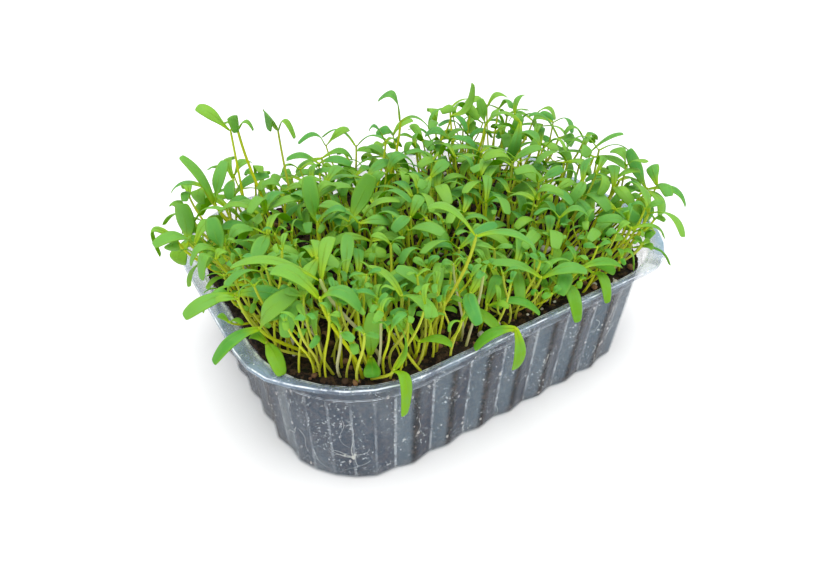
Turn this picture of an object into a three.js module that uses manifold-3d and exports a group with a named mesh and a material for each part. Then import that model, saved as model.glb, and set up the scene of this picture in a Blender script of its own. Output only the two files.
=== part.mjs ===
// Potted yellow chard microgreens: a clear pleated tray, the soil in it, and tufts of seedlings.
// Millimetres, +Z up. The origin is the middle of the tray's underside, and +X is its long side.
import * as THREE from 'three';
import { mergeVertices } from 'three/addons/utils/BufferGeometryUtils.js';
import Module from 'manifold-3d';

const wasm = await Module();
wasm.setup();

// Tray. Every outline is an arc round the four corner centres, joined by straight sides.
const CORNER_X = 47;
const CORNER_Y = 29.5;
const RIM_RADIUS = 41;
const TRAY_HEIGHT = 50;
const WALL = 0.9;
const BAND_BOTTOM = 42;
const BAND_INSET = 0.3;
const PLEAT_TOP = 40.8;
const PLEAT_TOP_INSET = 1.3;
const PLEAT_BOTTOM = 1.2;
const PLEAT_BOTTOM_INSET = 2.2;
const FOOT_INSET = 3.0;
const PLEAT_DEPTH = 1.6;
const FOOT_SHORTER = 0.023;
const FOOT_SHIFT = -2;
const LONG_SIDE_RIDGES = 7;
const SHORT_SIDE_RIDGES = 5;
const CORNER_VALLEY = 11;
const CORNER_PANEL = [22, 33.5, 45, 56.5, 68];
const FLANGE_WIDTH = 2.5;
const FLANGE_RIGHT_EXTRA = 4;
const FLANGE_LEFT_EXTRA = 3;
const FLANGE_THICKNESS = 1.1;

// Soil
const GAP = 0.3;
const SOIL_TOP = 42;

// Root clumps: square plugs on staggered rows, each standing in a hole of its own in the soil.
const ROW_STEP = 18;
const SITE_STEP = 18.6;
const ROWS_EACH_WAY = 3;
const SITES_EACH_WAY = 4;
const SITE_REACH = 28;
const CLUMP_HALF = 7;
const CLUMP_TOP = 42.3;
const CLUMP_BOTTOM = 38;
const ROOT_REACH = 5;
const ROOT_Z = 39.5;

// Seedlings: a stem, and two seed leaves that start a little way out from its apex.
const STEM_RADIUS = 0.7;
const STEM_LOW_RISE = 0.45;
const STEM_HIGH_LEAN = 0.12;
const STEM_HIGH_DROP = 0.3;
const PETIOLE_HALF_WIDTH = 0.8;
const PETIOLE_START = 1.1;
const BLADE_THICKNESS = 0.9;
const BLADE_NECK = 0.22;
const BLADE_FULL_FROM = 0.5;
const BLADE_FULL_TO = 0.6;
const FACE_SETTLES_AT = 0.4;
const STEM_CORNERS = [30, 150, 270];
const FINE_STATIONS = [0.3, 0.58, 0.86];
const PLAIN_STATIONS = [0.42, 0.8];
const FINE_STEM_STEPS = 4;
const PLAIN_STEM_STEPS = 2;

// Seedlings placed by rule: lengths in mm, angles in radians, each drawn between its two limits.
const SEEDLINGS_PER_SITE = 4;
const TRIES = 700;
const SEED = 20261;
const HEIGHTS = [12, 29];
const TALLER_RIGHT = 6;
const TALLER_CORNER = 11;
const LOWER_BACK = 6;
const LOWER_FRONT = 4;
const FRONT_CORNER = [-0.54, -0.84];
const LEAN_ENDS = 12;
const LEAN_SIDES = 11;
const LEAN_LEFT_EDGE = 3;
const SCATTER = [-6, 6];
const BOWS = [-3, 3];
const LEAF_TURNS = [-0.45, 0.45];
const LEAF_RISES = [-0.6, 0.4];
const LEAF_ROLLS = [-0.55, 0.55];
const LEAF_LENGTHS = [13.5, 19];
const SECOND_LEAF_LENGTHS = [0.85, 1.1];
const LEAF_WIDTHS = [4.4, 6.2];
const LEAF_ARCHES = [0.1, 0.32];

// Room kept between neighbours: a grid of small cells, of which each seedling claims those near it.
const CELL = 0.5;
const CLEARANCE = 1.7;
const ROOM_MIN = new THREE.Vector3(-130, -110, 36);
const ROOM_CELLS = [520, 440, 180];
const ROOM_EDGE = 5;
const STEM_SAMPLES = 50;
const LEAF_SAMPLES = 20;
const ACROSS_SAMPLES = 3;
const STEM_FREE_START = 4;
const RIM_CLEARANCE = 1.6;

// Seedlings placed by hand, the ones that stand out: root x and y, the apex where the two seed leaves
// meet, then each leaf's tip, width, arch (how far its middle bows to the side it faces), and facing.
const UP = [0, 0, 1];
const HAND_PLACED = [
  [[-60, 50], [-60, 50, 93], [[-70, 56, 104], 5.6, 2, [-0.2, -0.5, 0.8]], [[-58, 44, 93], 5.4, 7, UP]],
  [[-55, 43], [-56, 54, 91], [[-49, 50, 91], 4.6, 4, UP], [[-58, 64, 91], 4, 2, UP]],
  [[-40, 40], [-43, 42, 92], [[-50, 41, 93], 8, 10, [-0.15, -0.4, 0.9]], [[-38, 36, 89], 4.4, 6, UP]],
  [[-64, 27], [-76, 33, 72],
   [[-82, 39, 92], 5.6, 2, [0.6, -0.7, 0.3]], [[-68, 36, 87], 5, 3, [-0.4, -0.7, 0.4]]],
  [[-64, 36], [-77, 44, 75], [[-81, 42, 67], 6.4, 4, [-0.4, -0.6, 0.7]], [[-89, 52, 73], 4.5, 3, UP]],
  [[-80, 6], [-96, 16, 71],
   [[-104, 19, 64], 5, 9, [-0.3, 0.2, 1]], [[-99, 11, 68], 5.6, 3, [-0.3, -0.7, 0.5]]],
  [[-72, 14], [-91, 26, 63],
   [[-91, 23, 78], 7.4, -2, [-0.4, -0.7, 0.4]], [[-97, 24, 54], 7.4, 4, [-0.5, -0.7, 0.4]]],
  [[-72, -40], [-86, -37, 62], [[-103, -37, 56], 6.4, 3, UP], [[-75, -45, 77], 6.8, 5, [-0.6, -0.4, 0.5]]],
  [[-69, -49], [-85, -38, 56], [[-85, -51, 52], 5.4, 3, UP], [[-89, -33, 58], 4.4, 2, UP]],
  [[-66, -57], [-71, -53, 78], [[-81, -43, 86], 7.4, 4, UP], [[-61, -62, 76], 7, 5, UP]],
  [[-52, -56], [-67, -45, 78], [[-89, -29, 82], 5, 5, UP], [[-57, -34, 86], 5, 3, UP]],
  [[-57, -54], [-59, -60, 54],
   [[-59, -63, 73], 5.8, 2, [-0.6, -0.8, 0.2]], [[-63, -68, 52], 5.8, 2, [-0.2, -0.6, 0.7]]],
  [[-62, -58], [-57, -71, 56],
   [[-56, -68, 74], 4.8, -4, [-0.9, 0.4, 0.2]], [[-58, -79, 43], 5.6, 6, [0.3, -0.2, 1]]],
  [[-44, -60], [-44, -65, 57], [[-51, -55, 62], 4.8, 4, UP], [[-35, -72, 57], 4.6, 2, UP]],
  [[-29, -57], [-31, -56, 63], [[-42, -48, 75], 5, 3, [-0.2, -0.3, 1]], [[-24, -47, 70], 4.4, 2, UP]],
  [[-38, -60], [-26, -68, 92], [[-37, -58, 101], 5, 4, UP], [[-11, -79, 90], 4.6, 3, UP]],
  [[-4, -60], [-16, -79, 59], [[-30, -73, 54], 5.4, 3, UP], [[-16, -82, 42], 5, 3, [-0.1, -0.8, 0.5]]],
  [[-14, -60], [-14, -62, 57], [[1, -75, 57], 5.4, 4, UP], [[-4, -56, 63], 4.8, 2, UP]],
  [[10, -59], [14, -68, 58], [[13, -82, 50], 6, 6, UP], [[9, -58, 64], 5, 2, UP]],
  [[36, -57], [33, -67, 55.5], [[31, -79, 49], 4.8, 5, UP], [[24, -63, 58], 4.4, 2, UP]],
  [[46, -52], [46, -64, 55], [[53, -72, 52], 5.4, 7, [0.2, 0, 1]], [[48, -58, 50], 4.2, 3, UP]],
  [[67, -38], [82, -48, 68], [[85, -59, 61], 5.4, 3, [0.3, -0.3, 0.9]], [[67, -43, 64], 5.6, 4, UP]],
  [[72, -24], [91, -42, 64],
   [[82, -36, 81], 5.6, -1, [-0.5, -0.7, 0.4]], [[103, -57, 59], 6.4, 5, [0.1, -0.3, 1]]],
  [[78, -6], [86, -12, 72], [[96, -20, 81], 5, 2, UP], [[77, -2, 76], 4.6, 3, UP]],
  [[60, -48], [70, -54, 70],
   [[64, -56, 57], 7.6, 2, [-0.5, -0.7, 0.3]], [[72, -59, 60], 7, 3, [-0.1, -0.8, 0.5]]],
  [[4, 38], [11, 34, 87], [[2, 39, 97], 5.6, 9, [0.1, -0.5, 1]], [[24, 29, 82], 4.4, 4, UP]],
  [[30, 52], [45, 42, 80], [[53, 38, 95], 5.6, -6, [-0.7, -0.1, 0.7]], [[48, 31, 76], 4.4, 3, UP]],
  [[50, 33], [56, 29, 78], [[53, 31, 90], 5, 1, [-0.5, -0.7, 0.2]], [[69, 28, 77], 4.2, 5, UP]],
  [[-2, 36], [6, 39, 77], [[-1, 44, 82], 4.6, 5, UP], [[16, 42, 71], 4.4, 3, UP]],
  [[-50, -4], [-50, -6, 74], [[-52, -7, 93], 6.4, 2, [-0.6, -0.8, 0.1]], [[-40, -12, 80], 5.4, 3, UP]],
  [[-36, -4], [-36, -4, 69], [[-27, -6, 86], 7.6, -2, [-0.5, -0.8, 0.4]], [[-46, 5, 66], 5, 4, UP]],
  [[66, 12], [64, 14, 82], [[58, 12, 64], 6, 4, [-0.3, -0.6, 0.3]], [[55, 24, 84], 4.6, 3, UP]],
  [[-74, -4], [-84, 2, 68], [[-85, 3, 82], 6.4, 1, [-0.4, -0.8, 0.1]], [[-97, 4, 67], 6.2, 6, UP]],
  [[-70, -12], [-88, -5, 71], [[-96, -7, 66], 6, 6, UP], [[-83, -3, 71], 4.8, 2, UP]],
  [[74, 12], [83, 6, 73], [[69, 15, 85], 4.8, 5, UP], [[87, 0, 70], 6.4, 4, [-0.3, -0.6, 0.7]]],
  [[78, -2], [86, -7, 76], [[75, -2, 80], 4.6, 5, UP], [[96, -6, 74], 4.8, 3, UP]],
  [[72, -30], [77, -60, 55], [[70, -57, 56], 5, 3, UP], [[70, -61, 55], 4, 2, UP]],
];

// How far a place lies outside the rectangle of the corner centres.
function beyondCorners(x, y) {
  return Math.hypot(Math.max(Math.abs(x) - CORNER_X, 0), Math.max(Math.abs(y) - CORNER_Y, 0));
}

function smoothStep(from, to, value) {
  return THREE.MathUtils.smoothstep(value, from, to);
}

function seededRandom(seed) {
  let state = seed;
  return () => {
    state = (state * 48271) % 2147483647;
    return state / 2147483647;
  };
}

// Meshes and solids

function solidFrom(points, triangles) {
  const geometry = new THREE.BufferGeometry();
  geometry.setAttribute('position', new THREE.Float32BufferAttribute(points.flat(), 3));
  geometry.setIndex(triangles.flat());
  const merged = mergeVertices(geometry, 1e-4);
  return new wasm.Manifold(new wasm.Mesh({
    numProp: 3,
    vertProperties: new Float32Array(merged.attributes.position.array),
    triVerts: new Uint32Array(merged.index.array),
  }));
}

function geometryFrom(solid) {
  const mesh = solid.getMesh();
  const geometry = new THREE.BufferGeometry();
  geometry.setAttribute('position', new THREE.BufferAttribute(mesh.vertProperties, 3));
  geometry.setIndex(new THREE.BufferAttribute(mesh.triVerts, 1));
  geometry.computeVertexNormals();
  return geometry;
}

// Joins rings of equal length, given from the first ring's cap to the last ring's, into a closed solid.
// Each four-sided face is split from its lower ring's corner, so that nested pleats stay parallel.
function loft(rings) {
  const count = rings[0].length;
  const points = rings.flat();
  const triangles = [];
  for (let ring = 0; ring < rings.length - 1; ring += 1) {
    const rises = rings[ring + 1][0][2] >= rings[ring][0][2];
    for (let i = 0; i < count; i += 1) {
      const from = ring * count + i;
      const fromNext = ring * count + ((i + 1) % count);
      const to = from + count;
      const toNext = fromNext + count;
      if (rises) triangles.push([from, fromNext, toNext], [from, toNext, to]);
      else triangles.push([from, fromNext, to], [fromNext, toNext, to]);
    }
  }
  const lastRing = (rings.length - 1) * count;
  const firstCentre = points.length;
  points.push([0, 0, rings[0][0][2]], [0, 0, rings[rings.length - 1][0][2]]);
  for (let i = 0; i < count; i += 1) {
    const next = (i + 1) % count;
    triangles.push([firstCentre, next, i], [firstCentre + 1, lastRing + i, lastRing + next]);
  }
  return solidFrom(points, triangles);
}

function box(x, y, halfWidth, bottom, top) {
  const geometry = new THREE.BoxGeometry(2 * halfWidth, 2 * halfWidth, top - bottom);
  geometry.translate(x, y, (top + bottom) / 2);
  geometry.deleteAttribute('normal');
  geometry.deleteAttribute('uv');
  const merged = mergeVertices(geometry);
  return new wasm.Manifold(new wasm.Mesh({
    numProp: 3,
    vertProperties: merged.attributes.position.array,
    triVerts: new Uint32Array(merged.index.array),
  }));
}

// Tray

// The places round the tray, counter-clockwise from above: where each starts on the line through the
// corner centres, the way it faces, and whether it is a ridge of the pleats (1) or a valley (0).
function trayPlaces() {
  const corners = [[-1, -1], [1, -1], [1, 1], [-1, 1]].map(([x, y]) => [x * CORNER_X, y * CORNER_Y]);
  const places = [];
  const add = (anchor, degrees, ridge) => {
    const angle = THREE.MathUtils.degToRad(degrees);
    places.push({ anchor, out: [Math.cos(angle), Math.sin(angle)], ridge });
  };
  for (let side = 0; side < 4; side += 1) {
    const facing = -90 + 90 * side;
    const [start, end] = [corners[side], corners[(side + 1) % 4]];
    const steps = 2 * ((side % 2 ? SHORT_SIDE_RIDGES : LONG_SIDE_RIDGES) - 1);
    for (let i = 0; i <= steps; i += 1) {
      const anchor = [0, 1].map((axis) => THREE.MathUtils.lerp(start[axis], end[axis], i / steps));
      add(anchor, facing, 1 - (i % 2));
    }
    add(end, facing + CORNER_VALLEY, 0);
    CORNER_PANEL.forEach((degrees) => add(end, facing + degrees, 1));
    add(end, facing + 90 - CORNER_VALLEY, 0);
  }
  return places;
}

function flangeWidth(place) {
  const right = FLANGE_RIGHT_EXTRA * smoothStep(0, 0.55, place.out[0]);
  const left = FLANGE_LEFT_EXTRA * smoothStep(0.75, 1, -place.out[0]);
  return FLANGE_WIDTH + right + left;
}

// One level of the tray or soil: inset is measured inwards from the rim's wall. Towards the foot the
// outline also gets shorter, and its middle moves a little to the left.
function ringAt(z, inset, pleat) {
  const low = THREE.MathUtils.clamp(1 - z / PLEAT_TOP, 0, 1);
  return trayPlaces().map((place) => {
    const reach = RIM_RADIUS - inset - (1 - place.ridge) * pleat;
    const x = place.anchor[0] + place.out[0] * reach;
    return [x * (1 - FOOT_SHORTER * low) + FOOT_SHIFT * low, place.anchor[1] + place.out[1] * reach, z];
  });
}

function flangeRing(z) {
  return trayPlaces().map((place) => {
    const reach = RIM_RADIUS + flangeWidth(place);
    return [place.anchor[0] + place.out[0] * reach, place.anchor[1] + place.out[1] * reach, z];
  });
}

function makeTray() {
  const flangeUnder = TRAY_HEIGHT - FLANGE_THICKNESS;
  return loft([
    ringAt(0, FOOT_INSET, PLEAT_DEPTH),
    ringAt(PLEAT_BOTTOM, PLEAT_BOTTOM_INSET, PLEAT_DEPTH),
    ringAt(PLEAT_TOP, PLEAT_TOP_INSET, PLEAT_DEPTH),
    ringAt(BAND_BOTTOM, BAND_INSET, 0),
    ringAt(flangeUnder, 0, 0),
    flangeRing(flangeUnder),
    flangeRing(TRAY_HEIGHT),
    ringAt(TRAY_HEIGHT, WALL, 0),
    ringAt(BAND_BOTTOM, BAND_INSET + WALL, 0),
    ringAt(PLEAT_TOP, PLEAT_TOP_INSET + WALL, PLEAT_DEPTH),
    ringAt(WALL, FOOT_INSET + WALL, PLEAT_DEPTH),
  ]);
}

// Soil

function makeSoil(sites) {
  const inset = WALL + GAP;
  let soil = loft([
    ringAt(WALL + GAP, FOOT_INSET + inset, PLEAT_DEPTH),
    ringAt(PLEAT_TOP, PLEAT_TOP_INSET + inset, PLEAT_DEPTH),
    ringAt(SOIL_TOP, BAND_INSET + inset, 0),
  ]);
  for (const site of sites) {
    soil = soil.subtract(box(site.x, site.y, CLUMP_HALF + GAP, CLUMP_BOTTOM - GAP, TRAY_HEIGHT));
  }
  return soil;
}

// Root sites

function rootSites() {
  const sites = [];
  for (let row = -ROWS_EACH_WAY; row <= ROWS_EACH_WAY; row += 1) {
    const y = row * ROW_STEP;
    const shift = row % 2 ? 0 : SITE_STEP / 2;
    for (let column = -SITES_EACH_WAY - 1; column <= SITES_EACH_WAY; column += 1) {
      const x = column * SITE_STEP + shift;
      if (beyondCorners(x, y) <= SITE_REACH) sites.push({ x, y, seedlings: [] });
    }
  }
  return sites;
}

function nearestSite(sites, x, y) {
  const distance = (site) => Math.hypot(site.x - x, site.y - y);
  return sites.reduce((best, site) => (distance(site) < distance(best) ? site : best));
}

// Seedlings

function leafCurve(apex, leaf) {
  const middle = apex.clone().lerp(leaf.tip, 0.5).addScaledVector(leaf.face, 2 * leaf.arch);
  return new THREE.QuadraticBezierCurve3(apex, middle, leaf.tip);
}

function stemCurve(root, apex, bow) {
  const rise = apex.z - root.z;
  const low = root.clone().add(new THREE.Vector3(bow[0], bow[1], STEM_LOW_RISE * rise));
  const high = apex.clone().lerp(root, STEM_HIGH_LEAN).add(new THREE.Vector3(0, 0, -STEM_HIGH_DROP * rise));
  return new THREE.CubicBezierCurve3(root, low, high, apex);
}

// How wide the blade is at a part of its length, from 0 at the apex to 1 at the tip.
function bladeShape(part) {
  const spread = BLADE_NECK + (1 - BLADE_NECK) * smoothStep(0, BLADE_FULL_FROM, part);
  const roundEnd = Math.max(part - BLADE_FULL_TO, 0) / (1 - BLADE_FULL_TO);
  return spread * Math.sqrt(1 - roundEnd ** 2);
}

// A place on a leaf: its middle, the way its upper face looks, and the way across it. The face turns
// smoothly from the one at the apex, where it looks towards the other leaf, to the blade's own.
function leafFrame(curve, leaf, part) {
  const middle = curve.getPoint(part);
  const along = curve.getTangent(part);
  const face = leaf.startFace.clone().lerp(leaf.face, smoothStep(0, FACE_SETTLES_AT, part));
  const up = face.addScaledVector(along, -face.dot(along)).normalize();
  const side = new THREE.Vector3().crossVectors(along, up);
  return { middle, up, side };
}

function setStartFaces(plan) {
  const stemEnd = plan.stem.getTangent(1);
  const ways = plan.leaves.map((leaf) => leaf.curve.getTangent(0));
  const middleWay = stemEnd.add(ways[0]).add(ways[1]);
  plan.leaves.forEach((leaf, i) => {
    leaf.startFace = middleWay.clone().addScaledVector(ways[i], -middleWay.dot(ways[i])).normalize();
  });
}

function seedlingPlan(root, apex, bow, leaves, fine) {
  const plan = { leaves, fine, stem: stemCurve(root, apex, bow) };
  for (const leaf of leaves) leaf.curve = leafCurve(apex, leaf);
  setStartFaces(plan);
  return plan;
}

// Points over the seedling, close enough together that nothing slips between them.
function samplePoints(plan) {
  const points = plan.stem.getPoints(STEM_SAMPLES).filter((point) => point.z > SOIL_TOP + STEM_FREE_START);
  for (const leaf of plan.leaves) {
    for (let i = 1; i <= LEAF_SAMPLES; i += 1) {
      const part = i / LEAF_SAMPLES;
      const { middle, side } = leafFrame(leaf.curve, leaf, part);
      const step = ((leaf.width / 2) * bladeShape(part)) / ACROSS_SAMPLES;
      for (let j = -ACROSS_SAMPLES; j <= ACROSS_SAMPLES; j += 1) {
        points.push(middle.clone().addScaledVector(side, step * j));
      }
    }
  }
  return points;
}

class Room {
  constructor() {
    this.taken = new Uint8Array(ROOM_CELLS[0] * ROOM_CELLS[1] * ROOM_CELLS[2]);
    this.near = [];
    const reach = Math.ceil(CLEARANCE / CELL);
    for (let x = -reach; x <= reach; x += 1) {
      for (let y = -reach; y <= reach; y += 1) {
        for (let z = -reach; z <= reach; z += 1) {
          if (Math.hypot(x, y, z) * CELL <= CLEARANCE) this.near.push([x, y, z]);
        }
      }
    }
  }

  cell(point) {
    return [0, 1, 2].map((axis) => {
      const steps = Math.floor((point.getComponent(axis) - ROOM_MIN.getComponent(axis)) / CELL);
      return THREE.MathUtils.clamp(steps, ROOM_EDGE, ROOM_CELLS[axis] - 1 - ROOM_EDGE);
    });
  }

  index([x, y, z]) {
    return (x * ROOM_CELLS[1] + y) * ROOM_CELLS[2] + z;
  }

  isFree(points) {
    return points.every((point) => this.taken[this.index(this.cell(point))] === 0);
  }

  take(points) {
    for (const point of points) {
      const [x, y, z] = this.cell(point);
      for (const [dx, dy, dz] of this.near) this.taken[this.index([x + dx, y + dy, z + dz])] = 1;
    }
  }
}

// True where a point is in the tray's wall or flange, or in the soil.
function hitsPot(point) {
  if (point.z > TRAY_HEIGHT + RIM_CLEARANCE) return false;
  const reach = beyondCorners(point.x, point.y);
  const inside = RIM_RADIUS - PLEAT_TOP_INSET - WALL - RIM_CLEARANCE;
  if (reach < inside) return point.z < SOIL_TOP + RIM_CLEARANCE;
  const widest = FLANGE_WIDTH + (point.x > CORNER_X ? FLANGE_RIGHT_EXTRA : 0)
    + (point.x < -CORNER_X ? FLANGE_LEFT_EXTRA : 0);
  return reach < RIM_RADIUS + widest + RIM_CLEARANCE;
}

function leafPlan(tip, width, arch, face) {
  return { tip: new THREE.Vector3(...tip), width, arch, face: new THREE.Vector3(...face).normalize() };
}

function handPlaced(sites) {
  const plans = [];
  for (const [root, apex, ...leaves] of HAND_PLACED) {
    const site = nearestSite(sites, root[0], root[1]);
    const rootX = site.x + THREE.MathUtils.clamp(root[0] - site.x, -ROOT_REACH, ROOT_REACH);
    const rootY = site.y + THREE.MathUtils.clamp(root[1] - site.y, -ROOT_REACH, ROOT_REACH);
    const rootPoint = new THREE.Vector3(rootX, rootY, ROOT_Z);
    const apexPoint = new THREE.Vector3(...apex);
    const plan = seedlingPlan(rootPoint, apexPoint, [0, 0], leaves.map((leaf) => leafPlan(...leaf)), true);
    site.seedlings.push(plan);
    plans.push(plan);
  }
  return plans;
}

function between([low, high], random) {
  return low + (high - low) * random();
}

// One leaf of a seedling placed by rule: its chord has the compass heading given, and some rise or fall.
function ruledLeaf(apex, heading, length, random) {
  const rise = between(LEAF_RISES, random);
  const roll = between(LEAF_ROLLS, random);
  const flat = Math.cos(rise);
  const chord = new THREE.Vector3(Math.cos(heading) * flat, Math.sin(heading) * flat, Math.sin(rise));
  const upright = new THREE.Vector3(0, 0, 1).addScaledVector(chord, -chord.z).normalize();
  return {
    tip: apex.clone().addScaledVector(chord, length),
    width: between(LEAF_WIDTHS, random),
    arch: length * between(LEAF_ARCHES, random),
    face: upright.applyAxisAngle(chord, roll),
  };
}

// Near an edge of the tray the seedlings lean out over it, but not at its front and left back corners.
// They are tallest at the right and at the front corner.
function ruledSeedling(site, random) {
  const rootX = site.x + (2 * random() - 1) * ROOT_REACH;
  const rootY = site.y + (2 * random() - 1) * ROOT_REACH;
  const edgeX = rootX / (CORNER_X + RIM_RADIUS);
  const edgeY = rootY / (CORNER_Y + RIM_RADIUS);
  const corner = smoothStep(0.6, 0.9, edgeX * FRONT_CORNER[0] + edgeY * FRONT_CORNER[1]);
  const back = smoothStep(0.1, 0.7, edgeY) * (1 - smoothStep(0.3, 0.8, edgeX));
  const leftBack = smoothStep(0.25, 0.65, edgeY) * smoothStep(0.2, 0.5, -edgeX);
  const front = smoothStep(0.3, 0.8, -edgeY);
  const taller = TALLER_RIGHT * smoothStep(0.3, 0.85, edgeX) + TALLER_CORNER * corner;
  const height = between(HEIGHTS, random) + taller - LOWER_BACK * back - LOWER_FRONT * front;
  const leanLeft = LEAN_LEFT_EDGE * smoothStep(0.55, 0.65, -edgeX);
  const outX = (LEAN_ENDS * edgeX * Math.abs(edgeX) - leanLeft) * (1 - leftBack) * (1 - corner);
  const outY = LEAN_SIDES * edgeY * Math.abs(edgeY) * (1 - corner);
  const leanX = outX + between(SCATTER, random);
  const leanY = outY + between(SCATTER, random);
  const apex = new THREE.Vector3(rootX + leanX, rootY + leanY, SOIL_TOP + height);
  const heading = 2 * Math.PI * random();
  const opposite = heading + Math.PI + between(LEAF_TURNS, random);
  const length = between(LEAF_LENGTHS, random);
  const first = ruledLeaf(apex, heading, length, random);
  const second = ruledLeaf(apex, opposite, length * between(SECOND_LEAF_LENGTHS, random), random);
  const bow = [between(BOWS, random), between(BOWS, random)];
  return seedlingPlan(new THREE.Vector3(rootX, rootY, ROOT_Z), apex, bow, [first, second], false);
}

function plantAll(sites) {
  const room = new Room();
  for (const plan of handPlaced(sites)) room.take(samplePoints(plan));
  sites.forEach((site, index) => {
    const random = seededRandom(SEED + index);
    for (let attempt = 0; attempt < TRIES && site.seedlings.length < SEEDLINGS_PER_SITE; attempt += 1) {
      const plan = ruledSeedling(site, random);
      const points = samplePoints(plan);
      if (!points.some(hitsPot) && room.isFree(points)) {
        room.take(points);
        site.seedlings.push(plan);
      }
    }
  });
}

// One seedling as a closed mesh. Both leaves make one strip of three-sided rings through the apex, flat
// above and keeled below, and the three-sided stem takes the place of the keel's faces at the apex.
function seedlingSolid(plan) {
  const points = [];
  const triangles = [];
  const addPoint = (point) => points.push(point.toArray()) - 1;
  const quad = (a, b, c, d) => triangles.push([a, b, c], [a, c, d]);
  const join = (from, to, sides) => {
    for (const i of sides) quad(from[(i + 1) % 3], from[i], to[i], to[(i + 1) % 3]);
  };

  const parts = plan.fine ? FINE_STATIONS : PLAIN_STATIONS;
  const [first, second] = plan.leaves.map((leaf, index) => {
    const turn = index === 0 ? -1 : 1;
    const start = PETIOLE_START / (2 * leaf.curve.v0.distanceTo(leaf.curve.v1));
    return [start, ...parts].map((part, station) => {
      const { middle, up, side } = leafFrame(leaf.curve, leaf, part);
      const half = station === 0 ? PETIOLE_HALF_WIDTH : (leaf.width / 2) * bladeShape(part);
      const at = (sideways, upwards) => addPoint(
        middle.clone().addScaledVector(side, turn * sideways).addScaledVector(up, upwards),
      );
      return [at(half, 0), at(-half, 0), at(0, -BLADE_THICKNESS)];
    });
  });
  const [firstTip, secondTip] = plan.leaves.map((leaf) => addPoint(leaf.tip));
  const lastRing = parts.length;
  for (let i = 0; i < lastRing; i += 1) {
    join(first[i + 1], first[i], [0, 1, 2]);
    join(second[i], second[i + 1], [0, 1, 2]);
  }
  join(first[0], second[0], [0]);
  for (let i = 0; i < 3; i += 1) {
    const next = (i + 1) % 3;
    triangles.push([firstTip, first[lastRing][i], first[lastRing][next]]);
    triangles.push([secondTip, second[lastRing][next], second[lastRing][i]]);
  }

  const [right0, left0, under0] = first[0];
  const [right1, left1, under1] = second[0];
  const opening = [under0, left0, left1, under1, right1, right0];
  const stemStart = 1 - PETIOLE_START / (3 * plan.stem.v3.distanceTo(plan.stem.v2));
  const steps = plan.fine ? FINE_STEM_STEPS : PLAIN_STEM_STEPS;
  let forward = new THREE.Vector3(...points[under0]).sub(new THREE.Vector3(...points[under1]));
  let above = null;
  for (let step = 0; step <= steps; step += 1) {
    const part = stemStart * (1 - step / steps);
    const middle = plan.stem.getPoint(part);
    const down = plan.stem.getTangent(part).negate();
    forward = forward.clone().addScaledVector(down, -forward.dot(down)).normalize();
    const across = new THREE.Vector3().crossVectors(down, forward);
    const ring = STEM_CORNERS.map((degrees) => {
      const angle = THREE.MathUtils.degToRad(degrees);
      return addPoint(middle.clone().addScaledVector(forward, STEM_RADIUS * Math.cos(angle))
        .addScaledVector(across, STEM_RADIUS * Math.sin(angle)));
    });
    for (let i = 0; i < 3; i += 1) {
      const next = (i + 1) % 3;
      if (above) {
        quad(above[i], above[next], ring[next], ring[i]);
      } else {
        triangles.push([opening[2 * i], opening[2 * i + 1], ring[i]]);
        quad(opening[2 * i + 1], opening[(2 * i + 2) % 6], ring[next], ring[i]);
      }
    }
    above = ring;
  }
  triangles.push(above);
  return solidFrom(points, triangles);
}

function makeTuft(site) {
  let tuft = box(site.x, site.y, CLUMP_HALF, CLUMP_BOTTOM, CLUMP_TOP);
  for (const plan of site.seedlings) tuft = tuft.add(seedlingSolid(plan));
  return tuft;
}

// Assembly

const trayMaterial = new THREE.MeshStandardMaterial({ color: 0xb9c2cc, roughness: 0.15, metalness: 0 });
const soilMaterial = new THREE.MeshStandardMaterial({ color: 0x2a1d14, roughness: 0.95, metalness: 0 });
const seedlingMaterial = new THREE.MeshStandardMaterial({ color: 0x5aa02c, roughness: 0.6, metalness: 0 });

const part = new THREE.Group();

function addPiece(name, solid, material) {
  const mesh = new THREE.Mesh(geometryFrom(solid), material);
  mesh.name = name;
  part.add(mesh);
}

const sites = rootSites();
plantAll(sites);
const planted = sites.filter((site) => site.seedlings.length > 0);

addPiece('tray', makeTray(), trayMaterial);
addPiece('soil', makeSoil(planted), soilMaterial);
planted.forEach((site, index) => {
  addPiece(`tuft_${String(index + 1).padStart(2, '0')}`, makeTuft(site), seedlingMaterial);
});

export default part;
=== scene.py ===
# %% [markdown]
# # Potted yellow chard microgreens
# A clear pleated tray of dark soil, sown so densely with chard that only leaves show from above. The
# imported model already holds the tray, the soil and 56 tufts of seedlings as plain facets. This lesson
# loads it as a fixed frame and then dresses it, one piece and one finish at a time.

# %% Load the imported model
import math
from collections import namedtuple

import bmesh
import bpy
import numpy as np
from mathutils import Matrix, Quaternion, Vector, noise


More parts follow.
